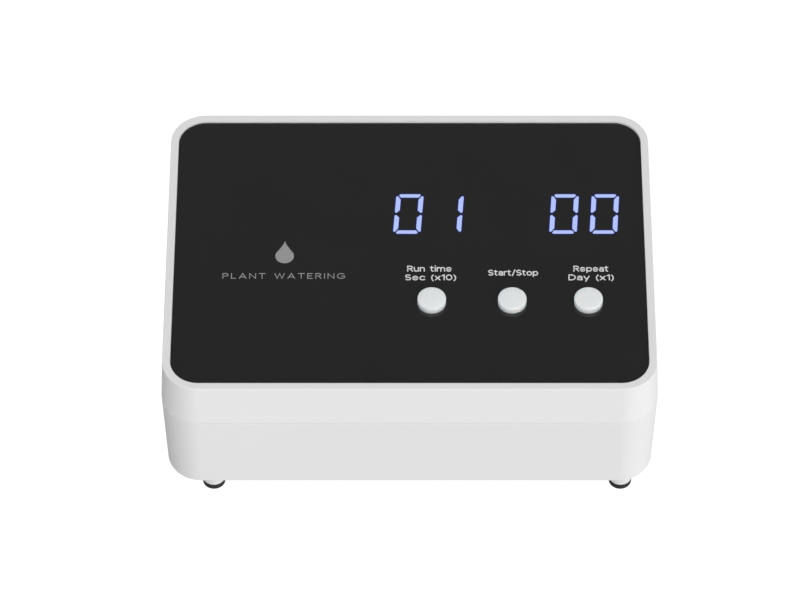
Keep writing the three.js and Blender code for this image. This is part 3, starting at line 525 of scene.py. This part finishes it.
def lower_case():
    seam_edge = 0.2 * MM
    base_edge = 0.45 * MM
    seam_gap = 0.1 * MM
    door_gap = 0.3 * MM
    door_lead = 0.25 * MM
    door_corner = 1.5 * MM
    door_steps = 6
    barb_hole = 3.5 * MM
    barb_hole_depth = 5.0 * MM
    barb_hole_start = 4.0 * MM
    scoop_radius = 9.0 * MM
    scoop_depth = 1.2 * MM
    top = SEAM_Z - seam_gap
    rings = [(case_outline(FLOOR_Z, WALL), FLOOR_Z), (case_outline(top, WALL), top)]
    for x, z in arc((seam_edge, top - seam_edge), seam_edge, 90, 180):
        rings.append((case_outline(z, x), z))
    for x, z in arc((base_edge, BASE_Z + base_edge), base_edge, 180, 270):
        rings.append((case_outline(max(z, BASE_Z), x), z))
    mesh = finished(ring_loft(rings, (CASE.x, CASE.y)), "lower_case")
    piece = piece_from("lower_case", mesh, [PAINTED_SHADE_LOWER_WHITE], "case", ["lower_shell"])
    cut(piece, [foot_post(name) for name in FEET], "UNION")
    width = door_high.x - door_low.x + 2 * door_gap
    depth = DOOR_DEPTH + 2 * door_gap
    doorway = outline(width, depth, door_corner, door_steps)
    doorway_wide = outline(width + 2 * door_lead, depth + 2 * door_lead, door_corner + door_lead, door_steps)
    rings = [(doorway_wide, BASE_Z - THROUGH), (doorway_wide, BASE_Z), (doorway, BASE_Z + door_lead),
             (doorway, FLOOR_Z + THROUGH)]
    door_x = (door_low.x + door_high.x) / 2
    helpers = [ring_loft(rings, (door_x, CASE.y))]
    for name in ("inlet_barb", "outlet_barb"):
        at = middle(name)
        hole = turned([(0, 0), (barb_hole, 0), (barb_hole, barb_hole_depth), (0, barb_hole_depth)])
        helpers.append(moved(hole, (at.x, CASE.y + SEAM_DEPTH / 2 - barb_hole_start, at.z), ALONG_Y))
    scoop = bmesh.new()
    bmesh.ops.create_uvsphere(scoop, u_segments=48, v_segments=32, radius=scoop_radius)
    helpers.append(moved(scoop, (door_x, door_low.y, BASE_Z - scoop_radius + scoop_depth)))
    cut(piece, helpers)
    smooth(piece)


def foot_post(name):
    low, high = limits("foot_pad_" + name)
    radius = (high.x - low.x) / 2
    at = (low + high) / 2
    root = 0.5 * MM
    edge = 0.15 * MM
    overlap = 0.5 * MM
    profile = [(0, POST_Z), (radius - edge, POST_Z), (radius, POST_Z + edge)]
    profile += arc((radius + root, BASE_Z - root), root, 180, 90)
    profile += [(radius + root, BASE_Z + overlap), (0, BASE_Z + overlap)]
    return moved(turned(profile), (at.x, at.y, 0))


def foot_pads():
    gap = 0.08 * MM
    edge = 0.2 * MM
    dish = 0.12 * MM
    dish_inner = 0.5
    dish_outer = 0.55
    top = POST_Z - gap
    for name in FEET:
        node = "foot_pad_" + name
        low, high = limits(node)
        radius = (high.x - low.x) / 2
        at = (low + high) / 2
        profile = [(0, dish), (radius * dish_inner, dish), (radius * dish_outer, 0)]
        profile += arc((radius - edge, edge), edge, -90, 0)
        profile += arc((radius - edge, top - edge), edge, 0, 90)
        profile += [(0, top)]
        mesh = finished(moved(turned(profile), (at.x, at.y, 0)), node)
        pad = piece_from("rubber_foot_" + name, mesh, [RUBBER], "case", [node])
        smooth(pad)


# ---------------------------------------------------------------- panel
def plate_with_holes(name, outer, holes, bottom, top, edge):
    """A flat plate with rounded edges, from an outline and round holes."""
    curve = bpy.data.curves.new(name, "CURVE")
    curve.dimensions = "2D"
    curve.fill_mode = "BOTH"
    curve.extrude = (top - bottom) / 2 - edge
    curve.bevel_depth = edge
    curve.bevel_resolution = 3
    curve.offset = -edge
    for loop in [outer] + holes:
        spline = curve.splines.new("POLY")
        spline.points.add(len(loop) - 1)
        for point, place in zip(spline.points, loop):
            point.co = (place[0], place[1], 0, 1)
        spline.use_cyclic_u = True
    holder = bpy.data.objects.new(name, curve)
    bpy.context.collection.objects.link(holder)
    bpy.context.view_layer.update()
    evaluated = holder.evaluated_get(bpy.context.evaluated_depsgraph_get())
    mesh = bpy.data.meshes.new_from_object(evaluated)
    bpy.data.objects.remove(holder)
    mesh.transform(Matrix.Translation((0, 0, (top + bottom) / 2)))
    work = bmesh.new()
    work.from_mesh(mesh)
    bmesh.ops.remove_doubles(work, verts=work.verts, dist=WELD_DISTANCE)
    return finished(work, name)


def circle(x, y, radius):
    points = []
    for i in range(CIRCLE_STEPS):
        angle = 2 * math.pi * i / CIRCLE_STEPS
        points.append((x + radius * math.cos(angle), y + radius * math.sin(angle)))
    return points


def top_panel():
    gap = 0.06 * MM
    edge = 0.08 * MM
    button_hole = 4.05 * MM
    outer = [(CASE.x + p.x, CASE.y + p.y) for p in recess_outline(gap)]
    holes = []
    for name in BUTTONS:
        at = middle(name + "_button")
        holes.append(circle(at.x, at.y, button_hole))
    mesh = plate_with_holes("top_panel", outer, holes, panel_low.z, PANEL_Z, edge)
    piece = piece_from("top_panel", mesh, [PANEL], "case", ["front_panel"])
    smooth(piece)


# ---------------------------------------------------------------- buttons
def push_buttons():
    radius = 3.9 * MM
    edge = 0.28 * MM
    crown = 0.06 * MM
    crown_steps = 12
    socket = 1.5 * MM
    socket_lip = 0.3 * MM
    flange_thick = 1.0 * MM
    sides = 96
    for name in BUTTONS:
        node = name + "_button"
        low, high = limits(node)
        at = (low + high) / 2
        flange = high.x - at.x
        profile = [(0, low.z), (socket, low.z), (socket, low.z + socket_lip), (flange, low.z + socket_lip)]
        profile += [(flange, low.z + flange_thick), (radius, low.z + flange_thick)]
        profile += arc((radius - edge, high.z - crown - edge), edge, 0, 90, 8)
        for step in range(1, crown_steps + 1):
            reach = (radius - edge) * (1 - step / crown_steps)
            profile.append((reach, high.z - crown * (reach / (radius - edge)) ** 2))
        mesh = finished(moved(turned(profile, sides), (at.x, at.y, 0)), node)
        cap = piece_from(name + "_cap", mesh, [BUTTON_WHITE], name + "_key", [node])
        smooth(cap)


# ---------------------------------------------------------------- digits
DIGIT_WIDTH = 7.575 * MM
DIGIT_HEIGHT = 14.13 * MM
DIGIT_PITCH = 11.14 * MM
DIGIT_SLANT = math.tan(math.radians(3.8))
SEGMENT_WIDE = 1.31 * MM
SEGMENT_HIGH = 1.18 * MM
SEGMENT_WAIST = 0.32 * MM
SEGMENT_ROUND = 0.22 * MM
CORNER_CLIP = 0.38 * MM
HALO_REACH = 0.4 * MM
LIT_SEGMENTS = {"0": "abcdef", "1": "bc"}
LEFT_SHIFT = Vector((0.43 * MM, 0.135 * MM, 0))
RIGHT_SHIFT = Vector((0.66 * MM, 0.135 * MM, 0))


def flipped_x(points):
    return [(-x, y) for x, y in points]


def flipped_y(points):
    return [(x, -y) for x, y in points]


def segment_points():
    """The six outer segments of one digit, round its centre, before it is slanted."""
    half_w, half_h = DIGIT_WIDTH / 2, DIGIT_HEIGHT / 2
    inner_w = half_w - SEGMENT_WIDE
    tip_w, tip_h = half_w - 2 * CORNER_CLIP, half_h - 2 * CORNER_CLIP
    nick = 0.15 * MM
    flat = 0.57 * MM
    slope = 1.2 * MM
    waist_slope = 1.0 * MM
    top = [
        (-tip_w + CORNER_CLIP, half_h),
        (tip_w - CORNER_CLIP, half_h),
        (tip_w, half_h - CORNER_CLIP),
        (inner_w, half_h - SEGMENT_HIGH),
        (-inner_w, half_h - SEGMENT_HIGH),
        (-tip_w, half_h - CORNER_CLIP),
    ]
    side = [
        (half_w, tip_h - nick),
        (half_w, SEGMENT_WAIST + CORNER_CLIP),
        (half_w - CORNER_CLIP, SEGMENT_WAIST),
        (inner_w, SEGMENT_WAIST + waist_slope),
        (inner_w, tip_h - slope),
        (half_w - flat, tip_h),
        (half_w - nick, tip_h),
    ]
    return {"a": top, "b": side, "c": flipped_y(side), "d": flipped_y(top),
            "e": flipped_x(flipped_y(side)), "f": flipped_x(side)}


def anticlockwise(points):
    area = sum(a[0] * b[1] - b[0] * a[1] for a, b in zip(points, points[1:] + points[:1]))
    return points if area > 0 else points[::-1]


def softened(points, radius, steps=5):
    """A polygon with every corner rounded."""
    points = [Vector(p) for p in anticlockwise(points)]
    result = []
    for i, corner in enumerate(points):
        to_last = (points[i - 1] - corner).normalized()
        to_next = (points[(i + 1) % len(points)] - corner).normalized()
        half_angle = to_last.angle(to_next) / 2
        reach = radius / math.tan(half_angle)
        centre = corner + (to_last + to_next).normalized() * radius / math.sin(half_angle)
        start = corner + to_last * reach - centre
        sweep = math.pi - 2 * half_angle
        for step in range(steps + 1):
            turn = Matrix.Rotation(sweep * step / steps, 2)
            result.append(centre + turn @ start)
    return result


def grown(points, reach):
    """A convex polygon moved outwards by a distance."""
    least_cosine = 0.3
    points = [Vector(p) for p in anticlockwise(points)]
    result = []
    for i, corner in enumerate(points):
        first = (corner - points[i - 1]).normalized()
        second = (points[(i + 1) % len(points)] - corner).normalized()
        normal_a = Vector((first.y, -first.x))
        normal_b = Vector((second.y, -second.x))
        along = (normal_a + normal_b).normalized()
        result.append(corner + along * reach / max(least_cosine, along.dot(normal_a)))
    return result


def inlay(name, shapes, material, height):
    """Thin closed plates on the panel, from flat outlines."""
    sunk = 0.02 * MM
    mesh = bmesh.new()
    for points in shapes:
        low = [mesh.verts.new((p[0], p[1], PANEL_Z - sunk)) for p in points]
        high = [mesh.verts.new((p[0], p[1], PANEL_Z + height)) for p in points]
        count = len(points)
        mesh.faces.new(high)
        mesh.faces.new(low[::-1])
        for i in range(count):
            j = (i + 1) % count
            mesh.faces.new((low[i], low[j], high[j], high[i]))
    piece_from(name, finished(mesh, name), [material], "case")


def slanted(points, x, y):
    """A digit's points leaned over and set in place."""
    return [(x + p[0] + p[1] * DIGIT_SLANT, y + p[1]) for p in points]


def digit_group(name, centre, text):
    lit_height = 0.03 * MM
    halo_height = 0.008 * MM
    halo_step = 0.001 * MM
    segments = segment_points()
    lit, halos = [], []
    for i, figure in enumerate(text):
        x = centre.x + (i - (len(text) - 1) / 2) * DIGIT_PITCH
        for key in LIT_SEGMENTS[figure]:
            lit.append(slanted(softened(segments[key], SEGMENT_ROUND), x, centre.y))
            wide = softened(grown(segments[key], HALO_REACH), SEGMENT_ROUND + HALO_REACH)
            halos.append(slanted(wide, x, centre.y))
    inlay(name + "_digits", lit, LIT, lit_height)
    for i, halo in enumerate(halos):
        inlay(f"{name}_halo_{i + 1}", [halo], HALO, halo_height + halo_step * i)


# ---------------------------------------------------------------- prints
def bow(x, y, wide, high, start, end, steps=14):
    """Points of an elliptical bend, from one angle in degrees to another."""
    angles = [math.radians(start + (end - start) * i / steps) for i in range(steps + 1)]
    return [(x + wide * math.cos(a), y + high * math.sin(a)) for a in angles]


# Letters as pen strokes, each (advance, strokes), with the capitals 1 high on a baseline at 0
LOW = 0.74
BOWL = [(0, 1), (0.32, 1)] + bow(0.32, 0.74, 0.3, 0.26, 90, -90) + [(0, 0.48)]
ARCH = bow(0.27, LOW - 0.27, 0.27, 0.27, 180, 0)
GLYPHS = {
    " ": (0.34, []),
    "A": (0.84, [[(0, 0), (0.42, 1), (0.84, 0)], [(0.13, 0.3), (0.71, 0.3)]]),
    "D": (0.74, [[(0, 0), (0, 1), (0.26, 1)] + bow(0.26, 0.5, 0.48, 0.5, 90, -90) + [(0, 0)]]),
    "E": (0.56, [[(0.56, 1), (0, 1), (0, 0), (0.56, 0)], [(0, 0.52), (0.5, 0.52)]]),
    "G": (0.9, [bow(0.47, 0.5, 0.47, 0.5, 48, 330, 24) + [(0.9, 0.46), (0.52, 0.46)]]),
    "I": (0.0, [[(0, 0), (0, 1)]]),
    "L": (0.52, [[(0, 1), (0, 0), (0.52, 0)]]),
    "N": (0.72, [[(0, 0), (0, 1), (0.72, 0), (0.72, 1)]]),
    "P": (0.62, [[(0, 0)] + BOWL]),
    "R": (0.64, [[(0, 0)] + BOWL, [(0.34, 0.48), (0.64, 0)]]),
    "S": (0.62, [bow(0.31, 0.75, 0.29, 0.25, 35, 270) + bow(0.31, 0.25, 0.31, 0.25, 90, -148)]),
    "T": (0.72, [[(0, 1), (0.72, 1)], [(0.36, 1), (0.36, 0)]]),
    "W": (1.16, [[(0, 1), (0.29, 0), (0.58, 1), (0.87, 0), (1.16, 1)]]),
    "a": (0.52, [bow(0.27, LOW - 0.25, 0.25, 0.25, 150, 0) + [(0.52, 0)],
                 bow(0.26, 0.215, 0.26, 0.215, 0, 360)]),
    "c": (0.56, [bow(0.32, LOW / 2, 0.32, LOW / 2, 42, 318)]),
    "e": (0.62, [[(0.02, 0.39), (0.62, 0.39)] + bow(0.31, LOW / 2, 0.31, LOW / 2, 3, 322)]),
    "i": (0.0, [[(0, 0), (0, LOW)], [(0, 1.05), (0, 1.1)]]),
    "m": (1.0, [[(0, LOW), (0, 0)], bow(0.25, LOW - 0.27, 0.25, 0.27, 180, 0) + [(0.5, 0)],
                bow(0.75, LOW - 0.27, 0.25, 0.27, 180, 0) + [(1.0, 0)]]),
    "n": (0.54, [[(0, LOW), (0, 0)], ARCH + [(0.54, 0)]]),
    "o": (0.66, [bow(0.33, LOW / 2, 0.33, LOW / 2, 0, 360)]),
    "p": (0.64, [[(0, LOW), (0, -0.28)], bow(0.32, LOW / 2, 0.32, LOW / 2, 0, 360)]),
    "r": (0.3, [[(0, LOW), (0, 0)], bow(0.3, LOW - 0.3, 0.3, 0.3, 180, 85)]),
    "t": (0.36, [[(0.12, 0.95), (0.12, 0.2)] + bow(0.32, 0.2, 0.2, 0.2, 180, 275),
                 [(-0.04, LOW), (0.36, LOW)]]),
    "u": (0.54, [[(0, LOW)] + bow(0.27, 0.27, 0.27, 0.27, 180, 360) + [(0.54, LOW)],
                 [(0.54, LOW), (0.54, 0)]]),
    "x": (0.54, [[(0, 0), (0.54, LOW)], [(0, LOW), (0.54, 0)]]),
    "y": (0.6, [[(0, LOW), (0.3, 0)], [(0.6, LOW), (0.18, -0.28)]]),
    "0": (0.66, [bow(0.33, 0.5, 0.33, 0.5, 0, 360)]),
    "1": (0.26, [[(0, 0.82), (0.26, 1), (0.26, 0)]]),
    "(": (0.2, [bow(0.75, 0.4, 0.75, 0.85, 138, 222)]),
    ")": (0.2, [bow(-0.55, 0.4, 0.75, 0.85, 42, -42)]),
    "/": (0.4, [[(0, -0.1), (0.4, 1.08)]]),
}
PRINT_THICK = 0.03 * MM
LAYER_STEP = 0.1
LABEL_PEN = 0.32 * MM
LABEL_GAP = 0.26
MARK_PEN = 0.24 * MM
MARK_GAP = 0.42
LABELS = {
    "run_time_label": [("Run time", 5.4, -7.4, 12.2, 2.05), ("Sec (x10)", 5.7, -10.45, 14.0, 2.05)],
    "start_stop_label": [("Start/Stop", 28.3, -8.8, 13.7, 2.05)],
    "interval_label": [("Repeat", 49.6, -7.4, 9.6, 2.05), ("Day (x1)", 49.6, -10.45, 12.4, 2.05)],
}


def stroke_sections(points, half):
    """Cross-sections (place, sideways step) along a pen stroke, with round ends on an open one."""
    least_cosine = 0.5
    end_angles = (30, 60, 82)
    points = [Vector(p) for p in points]
    closed = (points[0] - points[-1]).length < half / 4
    if closed:
        points = points[:-1]
    sections = []
    count = len(points)
    for i, point in enumerate(points):
        ways = []
        if closed or i > 0:
            ways.append((point - points[i - 1]).normalized())
        if closed or i < count - 1:
            ways.append((points[(i + 1) % count] - point).normalized())
        along = sum(ways, Vector((0, 0))).normalized()
        miter = max(least_cosine, along.dot(ways[0]))
        sections.append((point, Vector((-along.y, along.x)) * half / miter))
    if closed:
        return sections, True
    ends = []
    for point, beyond in ((points[0], points[0] - points[1]), (points[-1], points[-1] - points[-2])):
        beyond.normalize()
        side = Vector((-beyond.y, beyond.x))
        end = []
        for angle in end_angles:
            turn = math.radians(angle)
            end.append((point + beyond * half * math.sin(turn), side * half * math.cos(turn)))
        ends.append(end)
    lead = [(place, -side) for place, side in reversed(ends[0])]
    return lead + sections + ends[1], False


def ribbon(mesh, points, half, low, high):
    """A closed flat strip along a pen stroke, from one height to another."""
    sections, closed = stroke_sections(points, half)
    loops = []
    for place, side in sections:
        left, right = place + side, place - side
        corners = ((left, low), (right, low), (right, high), (left, high))
        loops.append([mesh.verts.new((p.x, p.y, z)) for p, z in corners])
    pairs = list(zip(loops, loops[1:]))
    if closed:
        pairs.append((loops[-1], loops[0]))
    for first, second in pairs:
        for i in range(4):
            j = (i + 1) % 4
            mesh.faces.new((first[i], first[j], second[j], second[i]))
    if not closed:
        mesh.faces.new(loops[0])
        mesh.faces.new(loops[-1][::-1])


def lettering(name, lines, material, pen, gap):
    """Printed lines, each (text, x and y from the case's centre, width, capital height) in mm."""
    mesh = bmesh.new()
    for text, x, y, width, capital in lines:
        advance = sum(GLYPHS[letter][0] + gap for letter in text) - gap
        scale = (width * MM - pen) / advance
        rise = capital * MM - pen
        start = CASE.x + x * MM - width * MM / 2 + pen / 2
        baseline = CASE.y + y * MM + pen / 2
        for letter in text:
            reach, strokes = GLYPHS[letter]
            for layer, stroke in enumerate(strokes):
                places = [(start + p[0] * scale, baseline + p[1] * rise) for p in stroke]
                top = PANEL_Z + PRINT_THICK * (1 - LAYER_STEP * layer)
                ribbon(mesh, places, pen / 2, PANEL_Z - PRINT_THICK / 2, top)
            start += (reach + gap) * scale
    piece_from(name, finished(mesh, name), [material], "case")


def drop_mark():
    """A plain water drop."""
    centre = Vector((CASE.x - 34.3 * MM, CASE.y - 1.9 * MM))
    radius = 2.55 * MM
    tip = 5.3 * MM
    shoulder = 28
    hollow = 1.35
    round_steps = 28
    flank_steps = 8
    height = 0.02 * MM
    side_x = radius * math.cos(math.radians(shoulder))
    side_y = radius * math.sin(math.radians(shoulder))
    flank = []
    for step in range(1, flank_steps):
        part = step / flank_steps
        flank.append((side_x * (1 - part) ** hollow, side_y + (tip - side_y) * part))
    points = arc(centre, radius, 180 - shoulder, 360 + shoulder, round_steps)
    points += [(centre.x + x, centre.y + y) for x, y in flank]
    points.append((centre.x, centre.y + tip))
    points += [(centre.x - x, centre.y + y) for x, y in reversed(flank)]
    inlay("drop_mark", [points], PRINT_GREY, height)


def prints():
    lettering("word_mark", [("PLANT WATERING", -34.4, -9.9, 33.6, 1.95)], PRINT_GREY, MARK_PEN, MARK_GAP)
    for name, lines in LABELS.items():
        lettering(name, lines, PRINT_WHITE, LABEL_PEN, LABEL_GAP)


# ---------------------------------------------------------------- underside and rear
def battery_cover():
    thick = 1.8 * MM
    edge = 0.3 * MM
    corner = 1.2 * MM
    corner_steps = 8
    width = door_high.x - door_low.x
    bottom, top = BASE_Z, BASE_Z + thick
    centre = ((door_low.x + door_high.x) / 2, CASE.y)
    rings = []
    for x, z in arc((edge, bottom + edge), edge, 270, 180, 4):
        loop = outline(width - 2 * x, DOOR_DEPTH - 2 * x, corner - x, corner_steps)
        rings.append((loop, z))
    rings.append((outline(width, DOOR_DEPTH, corner, corner_steps), top))
    mesh = finished(ring_loft(rings, centre), "battery_cover_plate")
    piece = piece_from("battery_cover_plate", mesh, [WHITE], "battery_cover",
                       ["battery_door"])
    cut(piece, cover_hooks(centre, top), "UNION")
    cut(piece, cover_grooves(centre, bottom))
    smooth(piece)


def cover_hooks(centre, top):
    """Two hooks, each a root that stands on the cover and a lip that reaches over the case's edge."""
    spacing = 14.7 * MM
    width = 8.0 * MM
    corner = 0.25 * MM
    corner_steps = 3
    root_start = 1.8 * MM
    root_end = 0.1 * MM
    overlap = 0.5 * MM
    lip_thick = 1.1 * MM
    rear = centre[1] + DOOR_DEPTH / 2
    root = (rear - root_start, rear - root_end, top - overlap)
    lip = (rear - root_start, door_high.y, door_high.z - lip_thick)
    hooks = []
    for side in (-1, 1):
        x = centre[0] + side * spacing
        for low_y, high_y, low_z in (root, lip):
            loop = outline(width, high_y - low_y, corner, corner_steps)
            hooks.append(ring_loft([(loop, low_z), (loop, door_high.z)], (x, (low_y + high_y) / 2)))
    return hooks


def cover_grooves(centre, bottom):
    """Grip grooves by the cover's front edge."""
    count = 5
    first = 3.0 * MM
    pitch = 1.6 * MM
    depth = 0.35 * MM
    length = 16.0 * MM
    width = 0.7 * MM
    corner = 0.34 * MM
    corner_steps = 6
    loop = outline(length, width, corner, corner_steps)
    grooves = []
    for i in range(count):
        y = centre[1] - DOOR_DEPTH / 2 + first + pitch * i
        grooves.append(ring_loft([(loop, bottom - THROUGH), (loop, bottom + depth)], (centre[0], y)))
    return grooves


def hose_barbs():
    bore = 1.3 * MM
    tail = 2.1 * MM
    flange = 5.2 * MM
    flange_start = 6.4 * MM
    flange_thick = 1.9 * MM
    stem = 3.3 * MM
    stem_edge = 0.2 * MM
    stem_end = 1.4 * MM
    shoulder = 2.8 * MM
    shoulder_end = 2.5 * MM
    valley = 2.05 * MM
    undercut = 0.05 * MM
    crest_inner = 2.68 * MM
    crest_outer = 2.75 * MM
    edge = 0.1 * MM
    nose = 1.75 * MM
    barbs = ((4.9 * MM, 5.2 * MM), (7.7 * MM, 8.0 * MM))  # where each valley ends and its crest stands
    wall_y = CASE.y + SEAM_DEPTH / 2
    for name in ("inlet", "outlet"):
        node = name + "_barb"
        low, high = limits(node)
        at = (low + high) / 2
        tip = high.y
        front = low.y + flange_start
        profile = [(bore, low.y), (tail, low.y), (tail, front), (flange, front)]
        profile += [(flange, front + flange_thick), (stem, front + flange_thick)]
        profile += arc((stem - stem_edge, wall_y + stem_end - stem_edge), stem_edge, 0, 90, 4)
        profile += [(shoulder, wall_y + stem_end), (shoulder, wall_y + shoulder_end)]
        for valley_end, crest in barbs:
            profile += [(valley, wall_y + valley_end), (valley - undercut, wall_y + crest - undercut)]
            profile += [(crest_inner, wall_y + crest), (crest_outer, wall_y + crest + edge)]
        profile += [(nose, tip - edge), (nose - edge, tip), (bore + edge, tip), (bore, tip - edge)]
        mesh = moved(turned(profile), (at.x, 0, at.z), ALONG_Y)
        barb = piece_from(name + "_hose_barb", finished(mesh, node), [WHITE], "case", [node])
        smooth(barb)


def usb_port():
    sheet = 0.3 * MM
    corner = 1.5 * MM
    outer_edge = 0.1 * MM
    inner_edge = 0.05 * MM
    back_wall = 1.0 * MM
    tongue_wide = 6.7 * MM
    tongue_thick = 0.7 * MM
    tongue_corner = 0.25 * MM
    tongue_start = 1.05 * MM
    tongue_setback = 1.6 * MM
    low, high = limits("usb_c_receptacle")
    at = (low + high) / 2
    width, height = high.x - low.x, high.z - low.z
    depth = high.y - low.y
    place = (at.x, low.y, at.z)
    steps = ((0.0, 0.0), (0.0, depth - outer_edge), (outer_edge, depth), (sheet - inner_edge, depth),
             (sheet, depth - inner_edge), (sheet, back_wall))
    rings = []
    for shrink, y in steps:
        rings.append((outline(width - 2 * shrink, height - 2 * shrink, corner - shrink, USB_STEPS), y))
    shell = finished(moved(ring_loft(rings), place, ALONG_Y), "usb_c_shell")
    smooth(piece_from("usb_c_shell", shell, [STEEL], "case", ["usb_c_receptacle"]))
    loop = outline(tongue_wide, tongue_thick, tongue_corner, 4)
    tongue = moved(ring_loft([(loop, tongue_start), (loop, depth - tongue_setback)]), place, ALONG_Y)
    smooth(piece_from("usb_c_tongue", finished(tongue, "usb_c_tongue"), [BLACK], "case"))
    usb_contacts(place, depth)


def usb_contacts(place, depth):
    """A row of contact strips on each side of the tongue."""
    count = 12
    pitch = 0.5 * MM
    offset = 0.37 * MM
    start = 2.0 * MM
    setback = 1.9 * MM
    wide = 0.26 * MM
    thick = 0.06 * MM
    corner = 0.02 * MM
    strip = outline(wide, thick, corner, 1)
    contacts = bmesh.new()
    for side in (-1, 1):
        for i in range(count):
            x = (i - (count - 1) / 2) * pitch
            one = ring_loft([(strip, start), (strip, depth - setback)], (x, side * offset))
            contacts.from_mesh(finished(moved(one, place, ALONG_Y), "pin"))
    piece_from("usb_c_contacts", finished(contacts, "usb_c_contacts"), [GOLD], "case")


def cells():
    count = 4
    nub_high = 1.0 * MM
    nub_foot = 2.9 * MM
    nub = 2.7 * MM
    nub_edge = 0.3 * MM
    edge = 0.6 * MM
    base_inset = 1.6 * MM
    base_groove = 1.4 * MM
    base_groove_deep = 0.15 * MM
    top_inset = 1.3 * MM
    top_groove = 1.5 * MM
    top_groove_deep = 0.2 * MM
    metal_inset = 1.35 * MM
    band_wide = 9.0 * MM
    band_skin = 0.5 * MM
    sides = 72
    for i in range(1, count + 1):
        node = f"battery_cell_{i}"
        low, high = limits(node)
        at = (low + high) / 2
        radius = (high.z - low.z) / 2
        half = (high.y - low.y) / 2
        top = half - nub_high
        profile = [(0, -half), (radius - base_inset, -half), (radius - base_groove, -half + base_groove_deep)]
        profile += arc((radius - edge, -half + edge), edge, -90, 0, 5)
        profile += arc((radius - edge, top - edge), edge, 0, 90, 5)
        profile += [(radius - top_inset, top), (radius - top_groove, top - top_groove_deep)]
        profile += [(nub_foot, top - top_groove_deep)]
        profile += arc((nub - nub_edge, half - nub_edge), nub_edge, 0, 90, 4)
        profile += [(0, half)]
        mesh = turned(profile, sides)
        for face in mesh.faces:
            centre = face.calc_center_median()
            reach = math.hypot(centre.x, centre.y)
            if reach < radius - metal_inset:
                face.material_index = 1
            elif centre.z > top - band_wide and reach > radius - band_skin:
                face.material_index = 2
        turn = ALONG_Y if i % 2 == 1 else AGAINST_Y
        data = finished(moved(mesh, at, turn), node)
        smooth(piece_from(f"aa_cell_{i}", data, [JACKET, STEEL, GOLD], "case", [node]))


# ---------------------------------------------------------------- materials of the carried-over nodes
NODE_LOOKS = {
    "steel": STEEL,
    "black_plastic": BLACK,
    "grey_plastic": GREY,
    "board_green": GREEN,
    "magnet_grey": MAGNET,
    "copper": COPPER,
    "silicone": SILICONE,
    "lead_jacket": LEAD,
    "white_plastic": WHITE,
    "panel_black": PANEL,
    "foot_rubber": RUBBER,
    "cell_jacket": JACKET,
}
NODE_BEVEL = 0.12 * MM
NODE_BEVEL_ANGLE = math.radians(40)


def dress_nodes():
    for row in frame["record"]["subparts"]:
        node = frame["nodes"][row["node"]]
        node.data.materials.clear()
        node.data.materials.append(NODE_LOOKS[row["material_slot"]])
        bevel = node.modifiers.new("edges", "BEVEL")
        bevel.width = NODE_BEVEL
        bevel.segments = 2
        bevel.limit_method = "ANGLE"
        bevel.angle_limit = NODE_BEVEL_ANGLE


make_camera()
make_world(WORLD_BASE, WORLD_LOBES)
make_floor()
bpy.context.scene.view_settings.view_transform = "Standard"
dress_nodes()
upper_case()
lower_case()
foot_pads()
top_panel()
push_buttons()
digit_group("left", middle("left_display") - LEFT_SHIFT, "01")
digit_group("right", middle("right_display") - RIGHT_SHIFT, "00")
drop_mark()
prints()
battery_cover()
hose_barbs()
usb_port()
cells()
